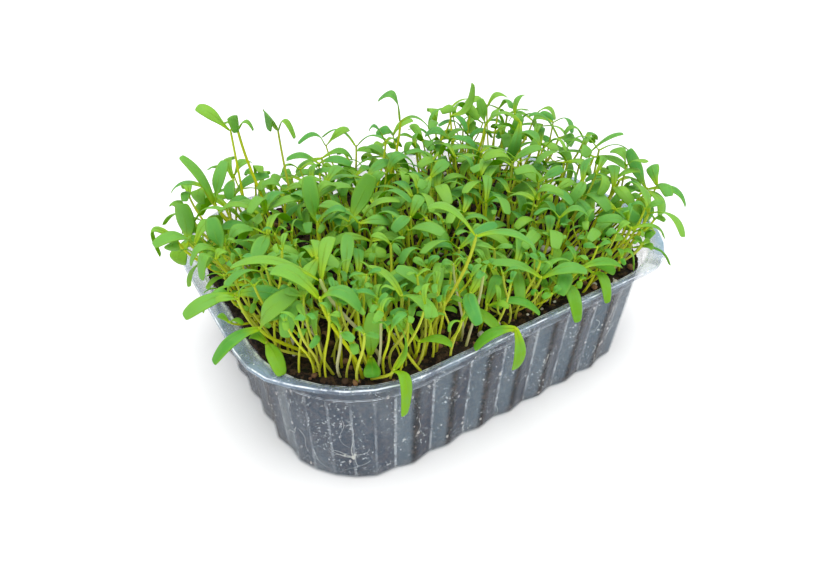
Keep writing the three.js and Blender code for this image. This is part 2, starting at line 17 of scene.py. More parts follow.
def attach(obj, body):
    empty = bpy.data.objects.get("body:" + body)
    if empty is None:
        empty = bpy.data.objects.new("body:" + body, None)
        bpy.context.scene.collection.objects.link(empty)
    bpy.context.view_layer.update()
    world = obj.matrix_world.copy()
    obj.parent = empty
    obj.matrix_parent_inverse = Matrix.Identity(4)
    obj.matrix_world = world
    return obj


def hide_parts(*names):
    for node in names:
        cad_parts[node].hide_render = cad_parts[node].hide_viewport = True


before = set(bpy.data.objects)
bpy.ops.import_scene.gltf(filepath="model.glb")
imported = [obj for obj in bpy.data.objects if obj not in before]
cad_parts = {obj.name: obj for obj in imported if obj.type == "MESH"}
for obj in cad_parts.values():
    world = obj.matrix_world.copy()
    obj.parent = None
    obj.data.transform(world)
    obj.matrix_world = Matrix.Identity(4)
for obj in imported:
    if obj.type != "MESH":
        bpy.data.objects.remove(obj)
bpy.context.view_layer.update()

# %% [markdown]
# ## The camera
# The photo looks down on one corner of the tray from close by, with a short, wide lens. A near camera
# makes the front corner look large, so its distance matters as much as its angle. The camera is put
# on a ball around a point in the tray, and then turned to face that point.

# %% Place the camera
PHOTO_WIDTH = 827
FOCAL_PIXELS = 585.8
SENSOR_MM = 36
AZIMUTH = math.radians(-32.76)
ELEVATION = math.radians(35.95)
ROLL = math.radians(-0.19)
CAMERA_DISTANCE = 0.2667
NEAREST_SEEN, FURTHEST_SEEN = 0.01, 20
AIM = Vector((-0.00465, -0.00058, 0.025))

towards_camera = Vector((
    math.sin(AZIMUTH) * math.cos(ELEVATION),
    -math.cos(AZIMUTH) * math.cos(ELEVATION),
    math.sin(ELEVATION),
))
camera_data = bpy.data.cameras.new("camera")
camera_data.sensor_width = SENSOR_MM
camera_data.lens = FOCAL_PIXELS / PHOTO_WIDTH * SENSOR_MM
camera_data.clip_start, camera_data.clip_end = NEAREST_SEEN, FURTHEST_SEEN
camera = bpy.data.objects.new("camera", camera_data)
bpy.context.scene.collection.objects.link(camera)
camera.location = AIM + towards_camera * CAMERA_DISTANCE
camera.rotation_mode = "QUATERNION"
camera.rotation_quaternion = towards_camera.to_track_quat("Z", "Y") @ Quaternion((0, 0, 1), ROLL)
bpy.context.scene.camera = camera
print("camera at", tuple(round(value, 3) for value in camera.location))

# %% [markdown]
# ## Material maths as Python
# A procedural finish is arithmetic on sockets. One small class wraps a socket, so that `1 - mask * 0.5`
# in Python adds the Math nodes for it, which reads better than a page of nodes and links.

# %% A socket that can be used in sums


class Wire:
    """The output socket of a node, which adds Math nodes when it is used in a sum."""

    def __init__(self, paint, socket):
        self.paint = paint
        self.socket = socket

    def math(self, operation, first, second):
        return self.paint.node("ShaderNodeMath", {"operation": operation}, {0: first, 1: second})

    def __add__(self, other):
        return self.math("ADD", self, other)

    def __mul__(self, other):
        return self.math("MULTIPLY", self, other)

    def __sub__(self, other):
        return self.math("SUBTRACT", self, other)

    def __rsub__(self, other):
        return self.math("SUBTRACT", other, self)

    __radd__ = __add__
    __rmul__ = __mul__


# %% [markdown]
# ## A paint box
# A second class holds a material. One of its methods makes any kind of node, and the others are short
# names for the few kinds that finishes need: noise, a smooth step, a mix, and coats of colour laid one
# over another, each by its share. All noise is in object space, so it stays put on the piece.

# %% A material that adds its own nodes


class Paint:
    """A material with a Principled shader, and the nodes that feed it."""

    def __init__(self, name, **constants):
        self.material = bpy.data.materials.new(name)
        self.material.use_nodes = True
        self.tree = self.material.node_tree
        self.shader = self.tree.nodes["Principled BSDF"]
        for socket, value in constants.items():
            self.shader.inputs[socket.replace("_", " ")].default_value = value

    def connect(self, socket, value):
        if isinstance(value, Wire):
            self.tree.links.new(value.socket, socket)
        elif socket.type == "RGBA" and len(value) == 3:
            socket.default_value = (*value, 1)
        else:
            socket.default_value = value

    def node(self, kind, settings=None, values=None, output=0):
        made = self.tree.nodes.new(kind)
        for name, value in (settings or {}).items():
            setattr(made, name, value)
        for name, value in (values or {}).items():
            self.connect(made.inputs[name], value)
        return Wire(self, made.outputs[output])

    def feed(self, **inputs):
        for socket, value in inputs.items():
            self.connect(self.shader.inputs[socket.replace("_", " ")], value)

    def mix(self, factor, first, second):
        values = {0: factor, 6: first, 7: second}
        return self.node("ShaderNodeMix", {"data_type": "RGBA"}, values, output=2)

    def coats(self, colour, *later_coats):
        """A colour with others laid over it: each coat is a share from 0 to 1, and its colour."""
        for share, coat in later_coats:
            colour = self.mix(share, colour, coat)
        return colour

    def step(self, value, low, high):
        """0 below low and 1 above high, smooth between them."""
        settings = {"interpolation_type": "SMOOTHSTEP"}
        return self.node("ShaderNodeMapRange", settings, {"Value": value, 1: low, 2: high})

    def place(self):
        """Where a point is on the piece, in metres."""
        return self.node("ShaderNodeTexCoord", output=3)

    def height(self, low, high):
        """0 below one height in metres and 1 above another."""
        split = self.node("ShaderNodeSeparateXYZ", {}, {0: self.place()}, output=2)
        return self.step(split, low, high)

    def grain(self, scale, detail=3.0, roughness=0.55, stretch=(1, 1, 1)):
        """Noise between 0 and 1, with its scale in grains per metre."""
        place = self.node("ShaderNodeMapping", {}, {"Vector": self.place(), "Scale": stretch})
        values = {"Vector": place, "Scale": scale, "Detail": detail, "Roughness": roughness}
        return self.node("ShaderNodeTexNoise", {}, values)

    def attribute(self, name):
        """The three numbers that a mesh keeps at each vertex under this name."""
        vector = self.node("ShaderNodeAttribute", {"attribute_name": name}, output=1)
        split = self.node("ShaderNodeSeparateXYZ", {}, {0: vector})
        return [Wire(self, output) for output in split.socket.node.outputs]

    def bump(self, height, distance):
        """Relief that follows a wire: where it is 1, it stands out by a distance in metres."""
        self.feed(Normal=self.node("ShaderNodeBump", {}, {"Height": height, "Distance": distance}))


# %% [markdown]
# ## The tray's finish
# The tray is thin clear plastic, hazy with moisture. Real refraction through a film this thin shows
# nothing but noise, so the haze is a pale blue-grey surface with a low alpha: it lets the soil show
# through dark, and white things behind it stay white. Light and shade on the folds are painted: thin
# painted highlights along the valleys and panel edges, and painted shade along the ridges. The mesh
# knows where those are and says so in an attribute. A second attribute holds three things: which way
# a facet leads, since facets that lead down into a valley get painted shade; how far out on the flange
# it is; and where a painted highlight gleams in thin lines round the tray.

# %% Tray plastic
# A lit pane colour, and a painted shade for facets that lead down into a valley.
PANE_PAINTED_LIT, PANE_PAINTED_SHADE = (0.24, 0.34, 0.44), (0.1, 0.14, 0.22)
MIST, RIDGE_PAINTED_SHADE = (0.38, 0.47, 0.55), (0.07, 0.085, 0.11)
FOLD_PAINTED_HIGHLIGHT, LIP_BLUE = (0.7, 0.76, 0.8), (0.32, 0.47, 0.62)
GLARE_PAINTED, DROP_WHITE = (0.9, 0.95, 1.0), (0.8, 0.82, 0.8)

tray_plastic = Paint("tray plastic", Roughness=0.12, IOR=1.5, Coat_Weight=0.5, Coat_Roughness=0.04)
ridge, valley, panel = tray_plastic.attribute("folds")
facing, lip, gleam = tray_plastic.attribute("levels")
haze = tray_plastic.grain(70, stretch=(1, 1, 0.3))
broken = tray_plastic.step(tray_plastic.grain(220), 0.38, 0.6)
wet = tray_plastic.step(tray_plastic.grain(120), 0.44, 0.58)
drops = tray_plastic.step(tray_plastic.grain(900, detail=2), 0.62, 0.67) * wet
# Painted highlights: thin bright lines along the valleys and the panel edges, broken up by noise.
valley_highlight = tray_plastic.step(valley, 0.86, 0.9) * (0.25 + broken * 0.6)
edge = tray_plastic.step(panel, 0.86, 0.9) * (0.3 + broken * 0.6)
# Painted shade along the ridges.
ridge_shade_share = tray_plastic.step(ridge, 0.3, 0.95)
# Painted highlights in thin lines at the step, at the rim and at the flange's outer edge.
painted_glint = tray_plastic.step(gleam, 0.62, 0.9) * (0.3 + broken * 0.7)
tray_plastic.feed(
    Base_Color=tray_plastic.coats(
        PANE_PAINTED_LIT,
        # Painted shade on facets that lead down into a valley.
        (facing, PANE_PAINTED_SHADE),
        (tray_plastic.step(haze, 0.35, 0.75) * 0.7, MIST),
        (ridge_shade_share, RIDGE_PAINTED_SHADE),
        (valley_highlight * 0.9 + edge * 0.5, FOLD_PAINTED_HIGHLIGHT),
        (lip, LIP_BLUE),
        (painted_glint, GLARE_PAINTED),
        (drops, DROP_WHITE),
    ),
    Alpha=(0.17 + haze * 0.14) * (1 - ridge_shade_share * 0.3) + valley_highlight * 0.2 + edge * 0.12 + lip * 0.62
    + painted_glint * 0.5 + drops * 0.3,
)
print("tray plastic:", len(tray_plastic.tree.nodes), "nodes")

# %% [markdown]
# ## Soil, crumbs and perlite
# Moist peat is nearly black, with rusty brown crumbs on it. Perlite is a white, chalky, popped stone,
# and the fine roots are cream. All of them are dull, so noise in the colour and the bump does the work.

# %% Soil finishes
PEAT_BLACK, PEAT_BROWN, PEAT_DULL = (0.008, 0.006, 0.005), (0.075, 0.042, 0.022), (0.05, 0.03, 0.016)
CRUMB_DARK, CRUMB_RUST, CRUMB_SPECK = (0.012, 0.008, 0.006), (0.36, 0.19, 0.09), (0.02, 0.013, 0.009)
PERLITE_WHITE, PERLITE_STAIN = (0.86, 0.82, 0.76), (0.5, 0.42, 0.36)
ROOT_CREAM, ROOT_STAIN = (0.82, 0.8, 0.7), (0.55, 0.52, 0.42)

soil_paint = Paint("moist peat", Roughness=0.95, Specular_IOR_Level=0.25)
peat_grain = soil_paint.grain(420, detail=6, roughness=0.7)
peat_patch = soil_paint.grain(60)
soil_paint.feed(Base_Color=soil_paint.coats(
    PEAT_BLACK,
    (soil_paint.step(peat_grain, 0.46, 0.6), PEAT_BROWN),
    (soil_paint.step(peat_patch, 0.45, 0.75) * 0.5, PEAT_DULL),
))
soil_paint.bump(peat_grain, 0.0012)

crumb_paint = Paint("peat crumb", Roughness=0.9, Specular_IOR_Level=0.3)
crumb_tint = crumb_paint.attribute("tint")[0]
crumb_grain = crumb_paint.grain(900, detail=5, roughness=0.65)
crumb_paint.feed(Base_Color=crumb_paint.coats(
    CRUMB_DARK,
    (crumb_paint.step(crumb_tint, 0.2, 1.0), CRUMB_RUST),
    (crumb_grain * 0.45, CRUMB_SPECK),
))
crumb_paint.bump(crumb_grain, 0.0006)

perlite_paint = Paint("perlite", Roughness=0.8, Specular_IOR_Level=0.3)
perlite_grain = perlite_paint.grain(700, detail=4)
perlite_paint.feed(Base_Color=perlite_paint.mix(perlite_grain, PERLITE_WHITE, PERLITE_STAIN))
perlite_paint.bump(perlite_grain, 0.0005)

root_paint = Paint("fine root", Roughness=0.6)
root_paint.feed(Base_Color=root_paint.mix(root_paint.grain(300), ROOT_CREAM, ROOT_STAIN))
print("soil and crumb:", len(soil_paint.tree.nodes), "and", len(crumb_paint.tree.nodes), "nodes")

# %% [markdown]
# ## Leaf and stem finishes
# A seed leaf of chard is matte, with a pale midrib that fades towards the tip, and it is more yellow
# below. The canopy's light and shade are painted into the colour by height: low down, where light has
# come through other leaves, a painted shade of deep yellow green, and higher up a painted bluish sheen
# from the sky. A painted highlight runs along the blade's edges. Light also comes through the blade, so a
# translucent shader is mixed in. The stem is a bright yellow green, golden near the soil, and one in
# thirty is nearly white.
# Each vertex of a leaf keeps how far along it is, how far from the midrib, the leaf's own tint, and
# whether it is below. A stem's vertices keep how far up they are, how pale the stem is, and its tint.

# %% Leaf finish
LEAF_TRANSLUCENCE = 0.44
SHADED_BELOW, SUNLIT_ABOVE = 0.05, 0.072
SHADED_DEEP, SHADED_YELLOW = (0.09, 0.38, 0.004), (0.3, 0.58, 0.002)
SUNLIT_DEEP, SUNLIT_YELLOW = (0.1, 0.42, 0.1), (0.34, 0.65, 0.07)
LEAF_MOTTLE, LEAF_EDGE_HIGHLIGHT, LEAF_BELOW = (0.24, 0.58, 0.12), (0.36, 0.66, 0.06), (0.26, 0.5, 0.002)
MIDRIB_PALE, LEAF_NECK, LIGHT_THROUGH_LEAF = (0.38, 0.62, 0.04), (0.5, 0.7, 0.01), (0.34, 0.64, 0.004)


def add_translucence(paint, colour, share):
    """Mixes light of one colour, which passes through the blade, into the shader."""
    through = paint.node("ShaderNodeBsdfTranslucent", {}, {"Color": colour})
    surface = Wire(paint, paint.shader.outputs[0])
    mixed = paint.node("ShaderNodeMixShader", {}, {0: share, 1: surface, 2: through})
    output = paint.tree.nodes["Material Output"]
    paint.tree.links.new(mixed.socket, output.inputs["Surface"])


leaf_paint = Paint("seed leaf", Roughness=0.5, Specular_IOR_Level=0.35)
along, across, tint = leaf_paint.attribute("growth")
under = leaf_paint.attribute("under")[0]
leaf_grain = leaf_paint.grain(260, detail=4)
leaf_fine = leaf_paint.grain(1800, detail=2)
midrib = (1 - leaf_paint.step(across, 0.0, 0.16)) * (1 - leaf_paint.step(along, 0.3, 0.9))
# Painted shade low in the canopy, and a painted bluish sky sheen higher up, chosen by height.
shaded = leaf_paint.mix(tint, SHADED_DEEP, SHADED_YELLOW)
sunlit = leaf_paint.mix(tint, SUNLIT_DEEP, SUNLIT_YELLOW)
leaf_paint.feed(
    Base_Color=leaf_paint.coats(
        shaded,
        (leaf_paint.height(SHADED_BELOW, SUNLIT_ABOVE), sunlit),
        (leaf_paint.step(leaf_grain, 0.4, 0.65) * 0.35, LEAF_MOTTLE),
        # Painted highlight along the blade's edges.
        (leaf_paint.step(across, 0.55, 1.0) * 0.3, LEAF_EDGE_HIGHLIGHT),
        (under * 0.92, LEAF_BELOW),
        (midrib * 0.4, MIDRIB_PALE),
        (1 - leaf_paint.step(along, 0.0, 0.38), LEAF_NECK),
    ),
    Roughness=0.4 + leaf_fine * 0.2,
)
leaf_paint.bump(leaf_fine * 0.5 - midrib, 0.00025)
add_translucence(leaf_paint, LIGHT_THROUGH_LEAF, LEAF_TRANSLUCENCE)
print("leaf:", len(leaf_paint.tree.nodes), "nodes")

# %% Stem finish
STEM_TRANSLUCENCE = 0.25
STEM_DEEP, STEM_BRIGHT, STEM_WHITE = (0.58, 0.6, 0.006), (0.8, 0.9, 0.02), (0.62, 0.58, 0.4)
STEM_TOP, STEM_FOOT, STEM_STREAK = (0.42, 0.64, 0.06), (0.6, 0.5, 0.02), (0.45, 0.55, 0.03)
LIGHT_THROUGH_STEM = (0.72, 0.74, 0.006)

stem_paint = Paint("stem", Roughness=0.45, Specular_IOR_Level=0.12)
stem_along, stem_pale, stem_tint = stem_paint.attribute("growth")
stem_paint.feed(Base_Color=stem_paint.coats(
    STEM_DEEP,
    (stem_tint, STEM_BRIGHT),
    (stem_pale, STEM_WHITE),
    (stem_paint.step(stem_along, 0.65, 1.0) * 0.5, STEM_TOP),
    ((1 - stem_paint.step(stem_along, 0.0, 0.4)) * 0.5, STEM_FOOT),
    (stem_paint.grain(500, stretch=(1, 1, 0.12)) * 0.3, STEM_STREAK),
))
add_translucence(stem_paint, LIGHT_THROUGH_STEM, STEM_TRANSLUCENCE)
print("stem:", len(stem_paint.tree.nodes), "nodes")

# %% [markdown]
# ## From bmesh to piece
# Every piece is modelled in millimetres in the frame's own place, and scaled to metres at the end. Its
# object stays at the origin. It rides on the only body there is. What a finish has to know about a
# place, such as how far along a leaf it is, is noted at each vertex.

# %% How a piece starts and ends
TO_METRES = 0.001


def new_mesh(*notes):
    """An empty bmesh whose vertices can keep notes of three numbers each."""
    bm = bmesh.new()
    for name in notes:
        bm.verts.layers.float_vector.new(name)
    return bm


def add_piece(bm, name, paints, outward=False):
    """Ends a bmesh: its piece is a smooth mesh in metres, on the body."""
    if outward:
        bmesh.ops.recalc_face_normals(bm, faces=bm.faces[:])
    bmesh.ops.scale(bm, vec=(TO_METRES,) * 3, verts=bm.verts[:])
    mesh = bpy.data.meshes.new(name)
    bm.to_mesh(mesh)
    bm.free()
    mesh.shade_smooth()
    for paint in paints:
        mesh.materials.append(paint.material)
    piece = bpy.data.objects.new(name, mesh)
    bpy.context.scene.collection.objects.link(piece)
    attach(piece, "root")
    return piece


def round_off(piece):
    rounding = piece.modifiers.new("rounding", "SUBSURF")
    rounding.levels = rounding.render_levels = 1


def smooth_step(low, high, value):
    """0 below low and 1 above high, smooth between them, as the paint's own step is."""
    part = np.clip((value - low) / (high - low), 0, 1)
    return part * part * (3 - 2 * part)


print("a quarter of the way up a smooth step:", smooth_step(0, 1, 0.25))

# %% [markdown]
# ## The tray's outline
# Seen from above, the wall zigzags: ridge, valley, ridge, with plain facets round the corners. The
# model's facets meet in sharp edges, but plastic drawn over a mould has small rounds there. So each
# facet here keeps three points of its own, none of them on the edge, and the short faces between
# one facet and the next become the round.

# %% Outline of the wall at any height
CORNER = np.array([47.0, 29.5])
RIM_RADIUS = 41.0
TRAY_HEIGHT = 50.0
PLEAT_TOP = 40.8
PLEAT_TOP_INSET = 1.3
PLEAT_BOTTOM = 1.2
PLEAT_BOTTOM_INSET = 2.2
FOOT_INSET = 3.0
PLEAT_DEPTH = 1.6
FOOT_SHORTER = 0.023
FOOT_SHIFT = -2.0
SIDE_RIDGES = (7, 5)
CORNER_VALLEY = 11
CORNER_PANEL = (22, 33.5, 45, 56.5, 68)
FACET_POINTS = (0.05, 0.5, 0.95)


def tray_places():
    """Rows of anchor x, y, outward x, y, ridge (1) or valley (0), and 1 where the wall is folded."""
    corners = [CORNER * sign for sign in ((-1, -1), (1, -1), (1, 1), (-1, 1))]
    rows = []

    def add(anchor, degrees, ridge_here, folded):
        angle = math.radians(degrees)
        rows.append((*anchor, math.cos(angle), math.sin(angle), ridge_here, folded))

    for side in range(4):
        facing = 90 * side - 90
        start, end = corners[side], corners[(side + 1) % 4]
        steps = 2 * (SIDE_RIDGES[side % 2] - 1)
        for i in range(steps + 1):
            add(start + (end - start) * i / steps, facing, 1 - i % 2, 1)
        add(end, facing + CORNER_VALLEY, 0, 1)
        for degrees in CORNER_PANEL:
            add(end, facing + degrees, 1, 0)
        add(end, facing + 90 - CORNER_VALLEY, 0, 1)
    return np.array(rows)


def ring_of(reach, z):
    """x, y, z at every point of the outline, for a reach outwards from each anchor."""
    low = np.clip(1 - z / PLEAT_TOP, 0, 1)
    points = anchors + outwards * np.reshape(reach, (-1, 1))
    points[:, 0] = points[:, 0] * (1 - FOOT_SHORTER * low) + FOOT_SHIFT * low
    following = np.roll(points, -1, axis=0)
    finer = [points + (following - points) * part for part in FACET_POINTS]
    flat = np.stack(finer, axis=1).reshape(-1, 2)
    return np.column_stack([flat, np.full(len(flat), z)])


def wall_ring(z, inset, pleat):
    """The wall's outline at a height: its ridges lie inset from the rim, and its valleys deeper."""
    return ring_of(RIM_RADIUS - inset - (1 - at_ridge) * pleat, z)


places = tray_places()
anchors, outwards, at_ridge, folded_here = places[:, :2], places[:, 2:4], places[:, 4], places[:, 5]
print("tray outline:", len(places), "anchors")

# %% Notes for the plastic's finish
# How much of the painted shade the corner panels get.
PANEL_PAINTED_SHADE = 0.75
LIP_ANYWHERE = 0.05
LIP_LEFT = 0.4


def near_edges(marked):
    """How close each point of the finer outline is to one of the marked places."""
    following = np.roll(marked, -1)
    nearness = [np.maximum(marked * (1 - 2 * part), following * (2 * part - 1)) for part in FACET_POINTS]
    return np.clip(np.stack(nearness, axis=1).ravel(), 0, 1)


def near_facing():
    """Painted shade: 1 on facets that lead down into a valley, 0 up to a ridge, and between on a panel."""
    following = np.roll(at_ridge, -1)
    leads_down = (at_ridge > following).astype(float)
    return np.repeat(leads_down + PANEL_PAINTED_SHADE * at_ridge * following, len(FACET_POINTS))


def near_lip():
    """How clearly the flange is tinted: most at the right end, some at the left, hardly elsewhere."""
    right = smooth_step(0.1, 0.7, outwards[:, 0])
    left = LIP_LEFT * smooth_step(0.6, 1, -outwards[:, 0])
    return np.repeat(LIP_ANYWHERE + (1 - LIP_ANYWHERE) * np.maximum(right, left), len(FACET_POINTS))


is_ridge = at_ridge * folded_here
is_valley = 1 - at_ridge
is_panel = 1 - is_ridge - is_valley
folds_here = np.column_stack([near_edges(is_ridge), near_edges(is_valley), near_edges(is_panel)])
facing_here = near_facing()
lip_here = near_lip()
print("tray outline:", len(folds_here), "points")

# %% [markdown]
# ## Drawing up the tray
# The sheet was drawn over a mould from the foot up, and it can be modelled the same way: a ring of
# edges starts at the foot and is extruded level by level, through the pleats, the step, the plain
# band and the rolled flange. A Solidify modifier then gives the sheet its thickness inwards.

# %% Levels of the tray, from the foot up
FLANGE_WIDTH = 2.5
FLANGE_RIGHT_EXTRA = 4.0
FLANGE_LEFT_EXTRA = 3.0
PLEAT_ROUNDING = 1.0
PLEAT_LEVELS = 9


def flange_ring(z, share, back=0.0):
    """A ring on the flange, at a share of its width, less a fixed distance."""
    right = FLANGE_RIGHT_EXTRA * smooth_step(0, 0.55, outwards[:, 0])
    left = FLANGE_LEFT_EXTRA * smooth_step(0.75, 1, -outwards[:, 0])
    return ring_of(RIM_RADIUS + (FLANGE_WIDTH + right + left) * share - back, z)


def pleated_level(share):
    """A ring between the foot (0) and the top of the pleats (1)."""
    z = PLEAT_BOTTOM + (PLEAT_TOP - PLEAT_ROUNDING - PLEAT_BOTTOM) * share
    return wall_ring(z, PLEAT_BOTTOM_INSET + (PLEAT_TOP_INSET - PLEAT_BOTTOM_INSET) * share, PLEAT_DEPTH)


def tray_levels():
    """Each level's ring, how folded it is, how far it is out on the flange, and its painted highlight."""
    return [
        (wall_ring(0, FOOT_INSET + 6, 0.6), 0, 0, 0),
        (wall_ring(0, FOOT_INSET + 0.9, PLEAT_DEPTH), 0.3, 0, 0),
        (wall_ring(0.25, FOOT_INSET + 0.25, PLEAT_DEPTH), 1, 0, 0.2),
        *[(pleated_level(share), 1, 0, 0) for share in np.linspace(0, 1, PLEAT_LEVELS)],
        (wall_ring(40.4, 1.2, 1.5), 1, 0, 0),
        (wall_ring(41.1, 0.9, 1.0), 0.7, 0, 0),
        (wall_ring(41.7, 0.45, 0.3), 0.3, 0, 0.3),
        (wall_ring(42.2, 0.3, 0), 0, 0, 1),
        (wall_ring(42.7, 0.28, 0), 0, 0, 0),
        (wall_ring(48.4, 0.02, 0), 0, 0, 0),
        (wall_ring(49.1, -0.15, 0), 0, 0.1, 0.2),
        (wall_ring(49.55, -0.6, 0), 0, 0.15, 1),
        (flange_ring(49.6, 0.6), 0, 0.8, 0),
        (flange_ring(49.85, 1, 0.55), 0, 1, 0.2),
        (flange_ring(49.75, 1, 0.12), 0, 1, 1),
        (flange_ring(49.3, 1), 0, 1, 0.5),
        (flange_ring(48.6, 1, -0.05), 0, 1, 0),
    ]


print("tray levels:", len(tray_levels()))

# %% Tray shell
SHEET_THICKNESS = 0.45
FLOOR_EDGE = 3


def extrude_ring(bm, edges):
    """Extrudes a closed ring of edges: gives the new ring's edges and its vertices."""
    made = bmesh.ops.extrude_edge_only(bm, edges=edges)["geom"]
    new_verts = {item for item in made if isinstance(item, bmesh.types.BMVert)}
    new_edges = [item for item in made if isinstance(item, bmesh.types.BMEdge)
                 and set(item.verts) <= new_verts]
    return new_edges, new_verts


def shape_ring(bm, ring, points, folded, lip_share, gleam):
    """Moves a ring to a level of the tray, and notes there what the plastic's finish reads."""
    folds, levels = (bm.verts.layers.float_vector[name] for name in ("folds", "levels"))
    for vert, point, fold, faces, out in zip(ring, points, folds_here * folded, facing_here, lip_here):
        vert.co = point
        vert[folds] = fold
        vert[levels] = (faces, out * lip_share, gleam)


def make_tray():
    bm = new_mesh("folds", "levels")
    first = bmesh.ops.create_circle(bm, segments=len(folds_here), radius=1)["verts"]
    ring = sorted(first, key=lambda vert: math.atan2(vert.co.y, vert.co.x) % (2 * math.pi))
    foot_edges = edges = bm.edges[:]
    foot_level, *higher_levels = tray_levels()
    shape_ring(bm, ring, *foot_level)
    for level in higher_levels:
        edges, new_verts = extrude_ring(bm, edges)
        ring = [next(edge.other_vert(vert) for edge in vert.link_edges
                     if edge.other_vert(vert) in new_verts) for vert in ring]
        shape_ring(bm, ring, *level)
    foot = bmesh.ops.contextual_create(bm, geom=foot_edges)["faces"]
    bmesh.ops.recalc_face_normals(bm, faces=bm.faces[:])
    if foot[0].normal.z > 0:
        bmesh.ops.reverse_faces(bm, faces=bm.faces[:])
    bmesh.ops.inset_region(bm, faces=foot, thickness=FLOOR_EDGE, depth=0)
    tray = add_piece(bm, "tray_shell", [tray_plastic])
    sheet = tray.modifiers.new("sheet", "SOLIDIFY")
    sheet.thickness = SHEET_THICKNESS * TO_METRES
    sheet.offset = -1
    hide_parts("tray")
    return tray


tray = make_tray()
print("tray shell:", len(tray.data.polygons), "faces")

# %% [markdown]
# ## The soil
# The soil fills the pleats, so its side shows through the wall. Its top is uneven, and is heaped a
# little against the front corner. Its broad swells and its small lumps are fractal noise. The three
# settings of such noise say how fast its finer waves fade, how much finer each is, and how many it has.
#
# A square grid is stretched onto the tray's outline, ring by ring from its middle, which keeps its edge
# exactly on the wall. Its edge is then extruded down the inside of the wall to the floor of the tray.

# %% Height of the soil's top
SOIL_TOP = 42.0
SOIL_SWELL, SWELLS_PER_MM, SWELL_FRACTAL = 0.9, 0.045, (0.8, 2.1, 3)
SOIL_LUMPINESS, LUMPS_PER_MM, LUMP_FRACTAL = 1.5, 0.28, (0.7, 2.2, 4)
SOIL_RISE = 4.0
FRONT_CORNER = (-0.54, -0.84)


def towards_edges(x, y):
    """x and y as shares of the way from the middle to the rim, from -1 to 1."""
    return x / (CORNER[0] + RIM_RADIUS), y / (CORNER[1] + RIM_RADIUS)


def towards_front(x, y):
    """0 in the middle of the tray, about 1 at the front corner, negative at the back."""
    edge_x, edge_y = towards_edges(x, y)
    return edge_x * FRONT_CORNER[0] + edge_y * FRONT_CORNER[1]


def beyond_corners(x, y):
    """How far a place lies from the nearest point of the box of the four corners' centres."""
    return np.hypot(np.maximum(np.abs(x) - CORNER[0], 0), np.maximum(np.abs(y) - CORNER[1], 0))


def soil_height(x, y):
    """The height of the soil's top, with broad swells, small lumps and a heap at the front corner."""
    swell = noise.fractal(Vector((x, y, 0)) * SWELLS_PER_MM, *SWELL_FRACTAL)
    lumps = noise.fractal(Vector((x, y, 9)) * LUMPS_PER_MM, *LUMP_FRACTAL)
    at_front = smooth_step(0.35, 0.7, towards_front(x, y))
    at_edge = smooth_step(25, 38, beyond_corners(x, y))
    return SOIL_TOP + SOIL_SWELL * swell + SOIL_LUMPINESS * lumps + SOIL_RISE * at_front * at_edge


print("soil's top in the middle:", round(soil_height(0, 0), 1), "mm up")

# %% Soil body
SOIL_GAP = 0.75
SOIL_CELLS = 96
SOIL_EDGE_SINKS = 0.8
SOIL_SIDE_LEVELS = (34, 26, 18, 10, 2, 1.1)


def soil_ring(z):
    """The outline of the soil's side at a height, a little inside the pleated wall."""
    share = np.clip((z - PLEAT_BOTTOM) / (PLEAT_TOP - PLEAT_BOTTOM), 0, 1)
    inset = PLEAT_BOTTOM_INSET + (PLEAT_TOP_INSET - PLEAT_BOTTOM_INSET) * share + SOIL_GAP
    return wall_ring(z, inset, PLEAT_DEPTH)


def onto_outline(ring, x, y):
    """Where a closed ring is crossed by the way from the middle towards x, y."""
    angles = np.arctan2(ring[:, 1], ring[:, 0])
    reaches = np.hypot(ring[:, 0], ring[:, 1])
    reach = np.interp(math.atan2(y, x), angles, reaches, period=2 * math.pi)
    return Vector((x, y, 0)).normalized() * reach


def make_soil():
    bm = bmesh.new()
    bmesh.ops.create_grid(bm, x_segments=SOIL_CELLS, y_segments=SOIL_CELLS, size=1)
    edge_ring = soil_ring(PLEAT_TOP)
    edges = [edge for edge in bm.edges if edge.is_boundary]
    for vert in bm.verts:
        share = max(abs(vert.co.x), abs(vert.co.y))
        if share:
            vert.co = onto_outline(edge_ring, vert.co.x * CORNER[0], vert.co.y * CORNER[1]) * share
        vert.co.z = soil_height(vert.co.x, vert.co.y) - SOIL_EDGE_SINKS * smooth_step(0.97, 1, share)
    for z in SOIL_SIDE_LEVELS:
        edges, new_verts = extrude_ring(bm, edges)
        side_ring = soil_ring(z)
        for vert in new_verts:
            vert.co = onto_outline(side_ring, vert.co.x, vert.co.y)
            vert.co.z = z
    bmesh.ops.contextual_create(bm, geom=edges)
    soil = add_piece(bm, "soil_body", [soil_paint], outward=True)
    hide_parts("soil")
    return soil


soil = make_soil()
print("soil:", len(soil.data.polygons), "faces")

# %% [markdown]
# ## Blanks
# Crumbs, stems and leaves come in their hundreds, and roots in dozens. A smith would cut a simple blank
# once, and bend or hammer copies of it. Here the blanks are a ball, a chip, two rods and a thin slab of
# a few dozen faces each, made by mesh operators. A Subdivision Surface modifier rounds the roots, stems
# and leaves that are bent from them.

# %% Make the blanks
ROOT_CUTS = 9
STEM_CUTS = 6
LEAF_ROWS = 7
LEAF_COLUMNS = 2
blanks = {}
blank_places = {}


def keep_blank(name, bm):
    """Keeps a shape as a mesh, with the places of its vertices as an array to bend."""
    bmesh.ops.recalc_face_normals(bm, faces=bm.faces[:])
    mesh = bpy.data.meshes.new(name + " blank")
    bm.to_mesh(mesh)
    bm.free()
    values = np.zeros(len(mesh.vertices) * 3)
    mesh.vertices.foreach_get("co", values)
    blanks[name] = mesh
    blank_places[name] = values.reshape(-1, 3)


def make_ball(name, detail):
    bm = bmesh.new()
    bmesh.ops.create_icosphere(bm, subdivisions=detail, radius=1)
    keep_blank(name, bm)


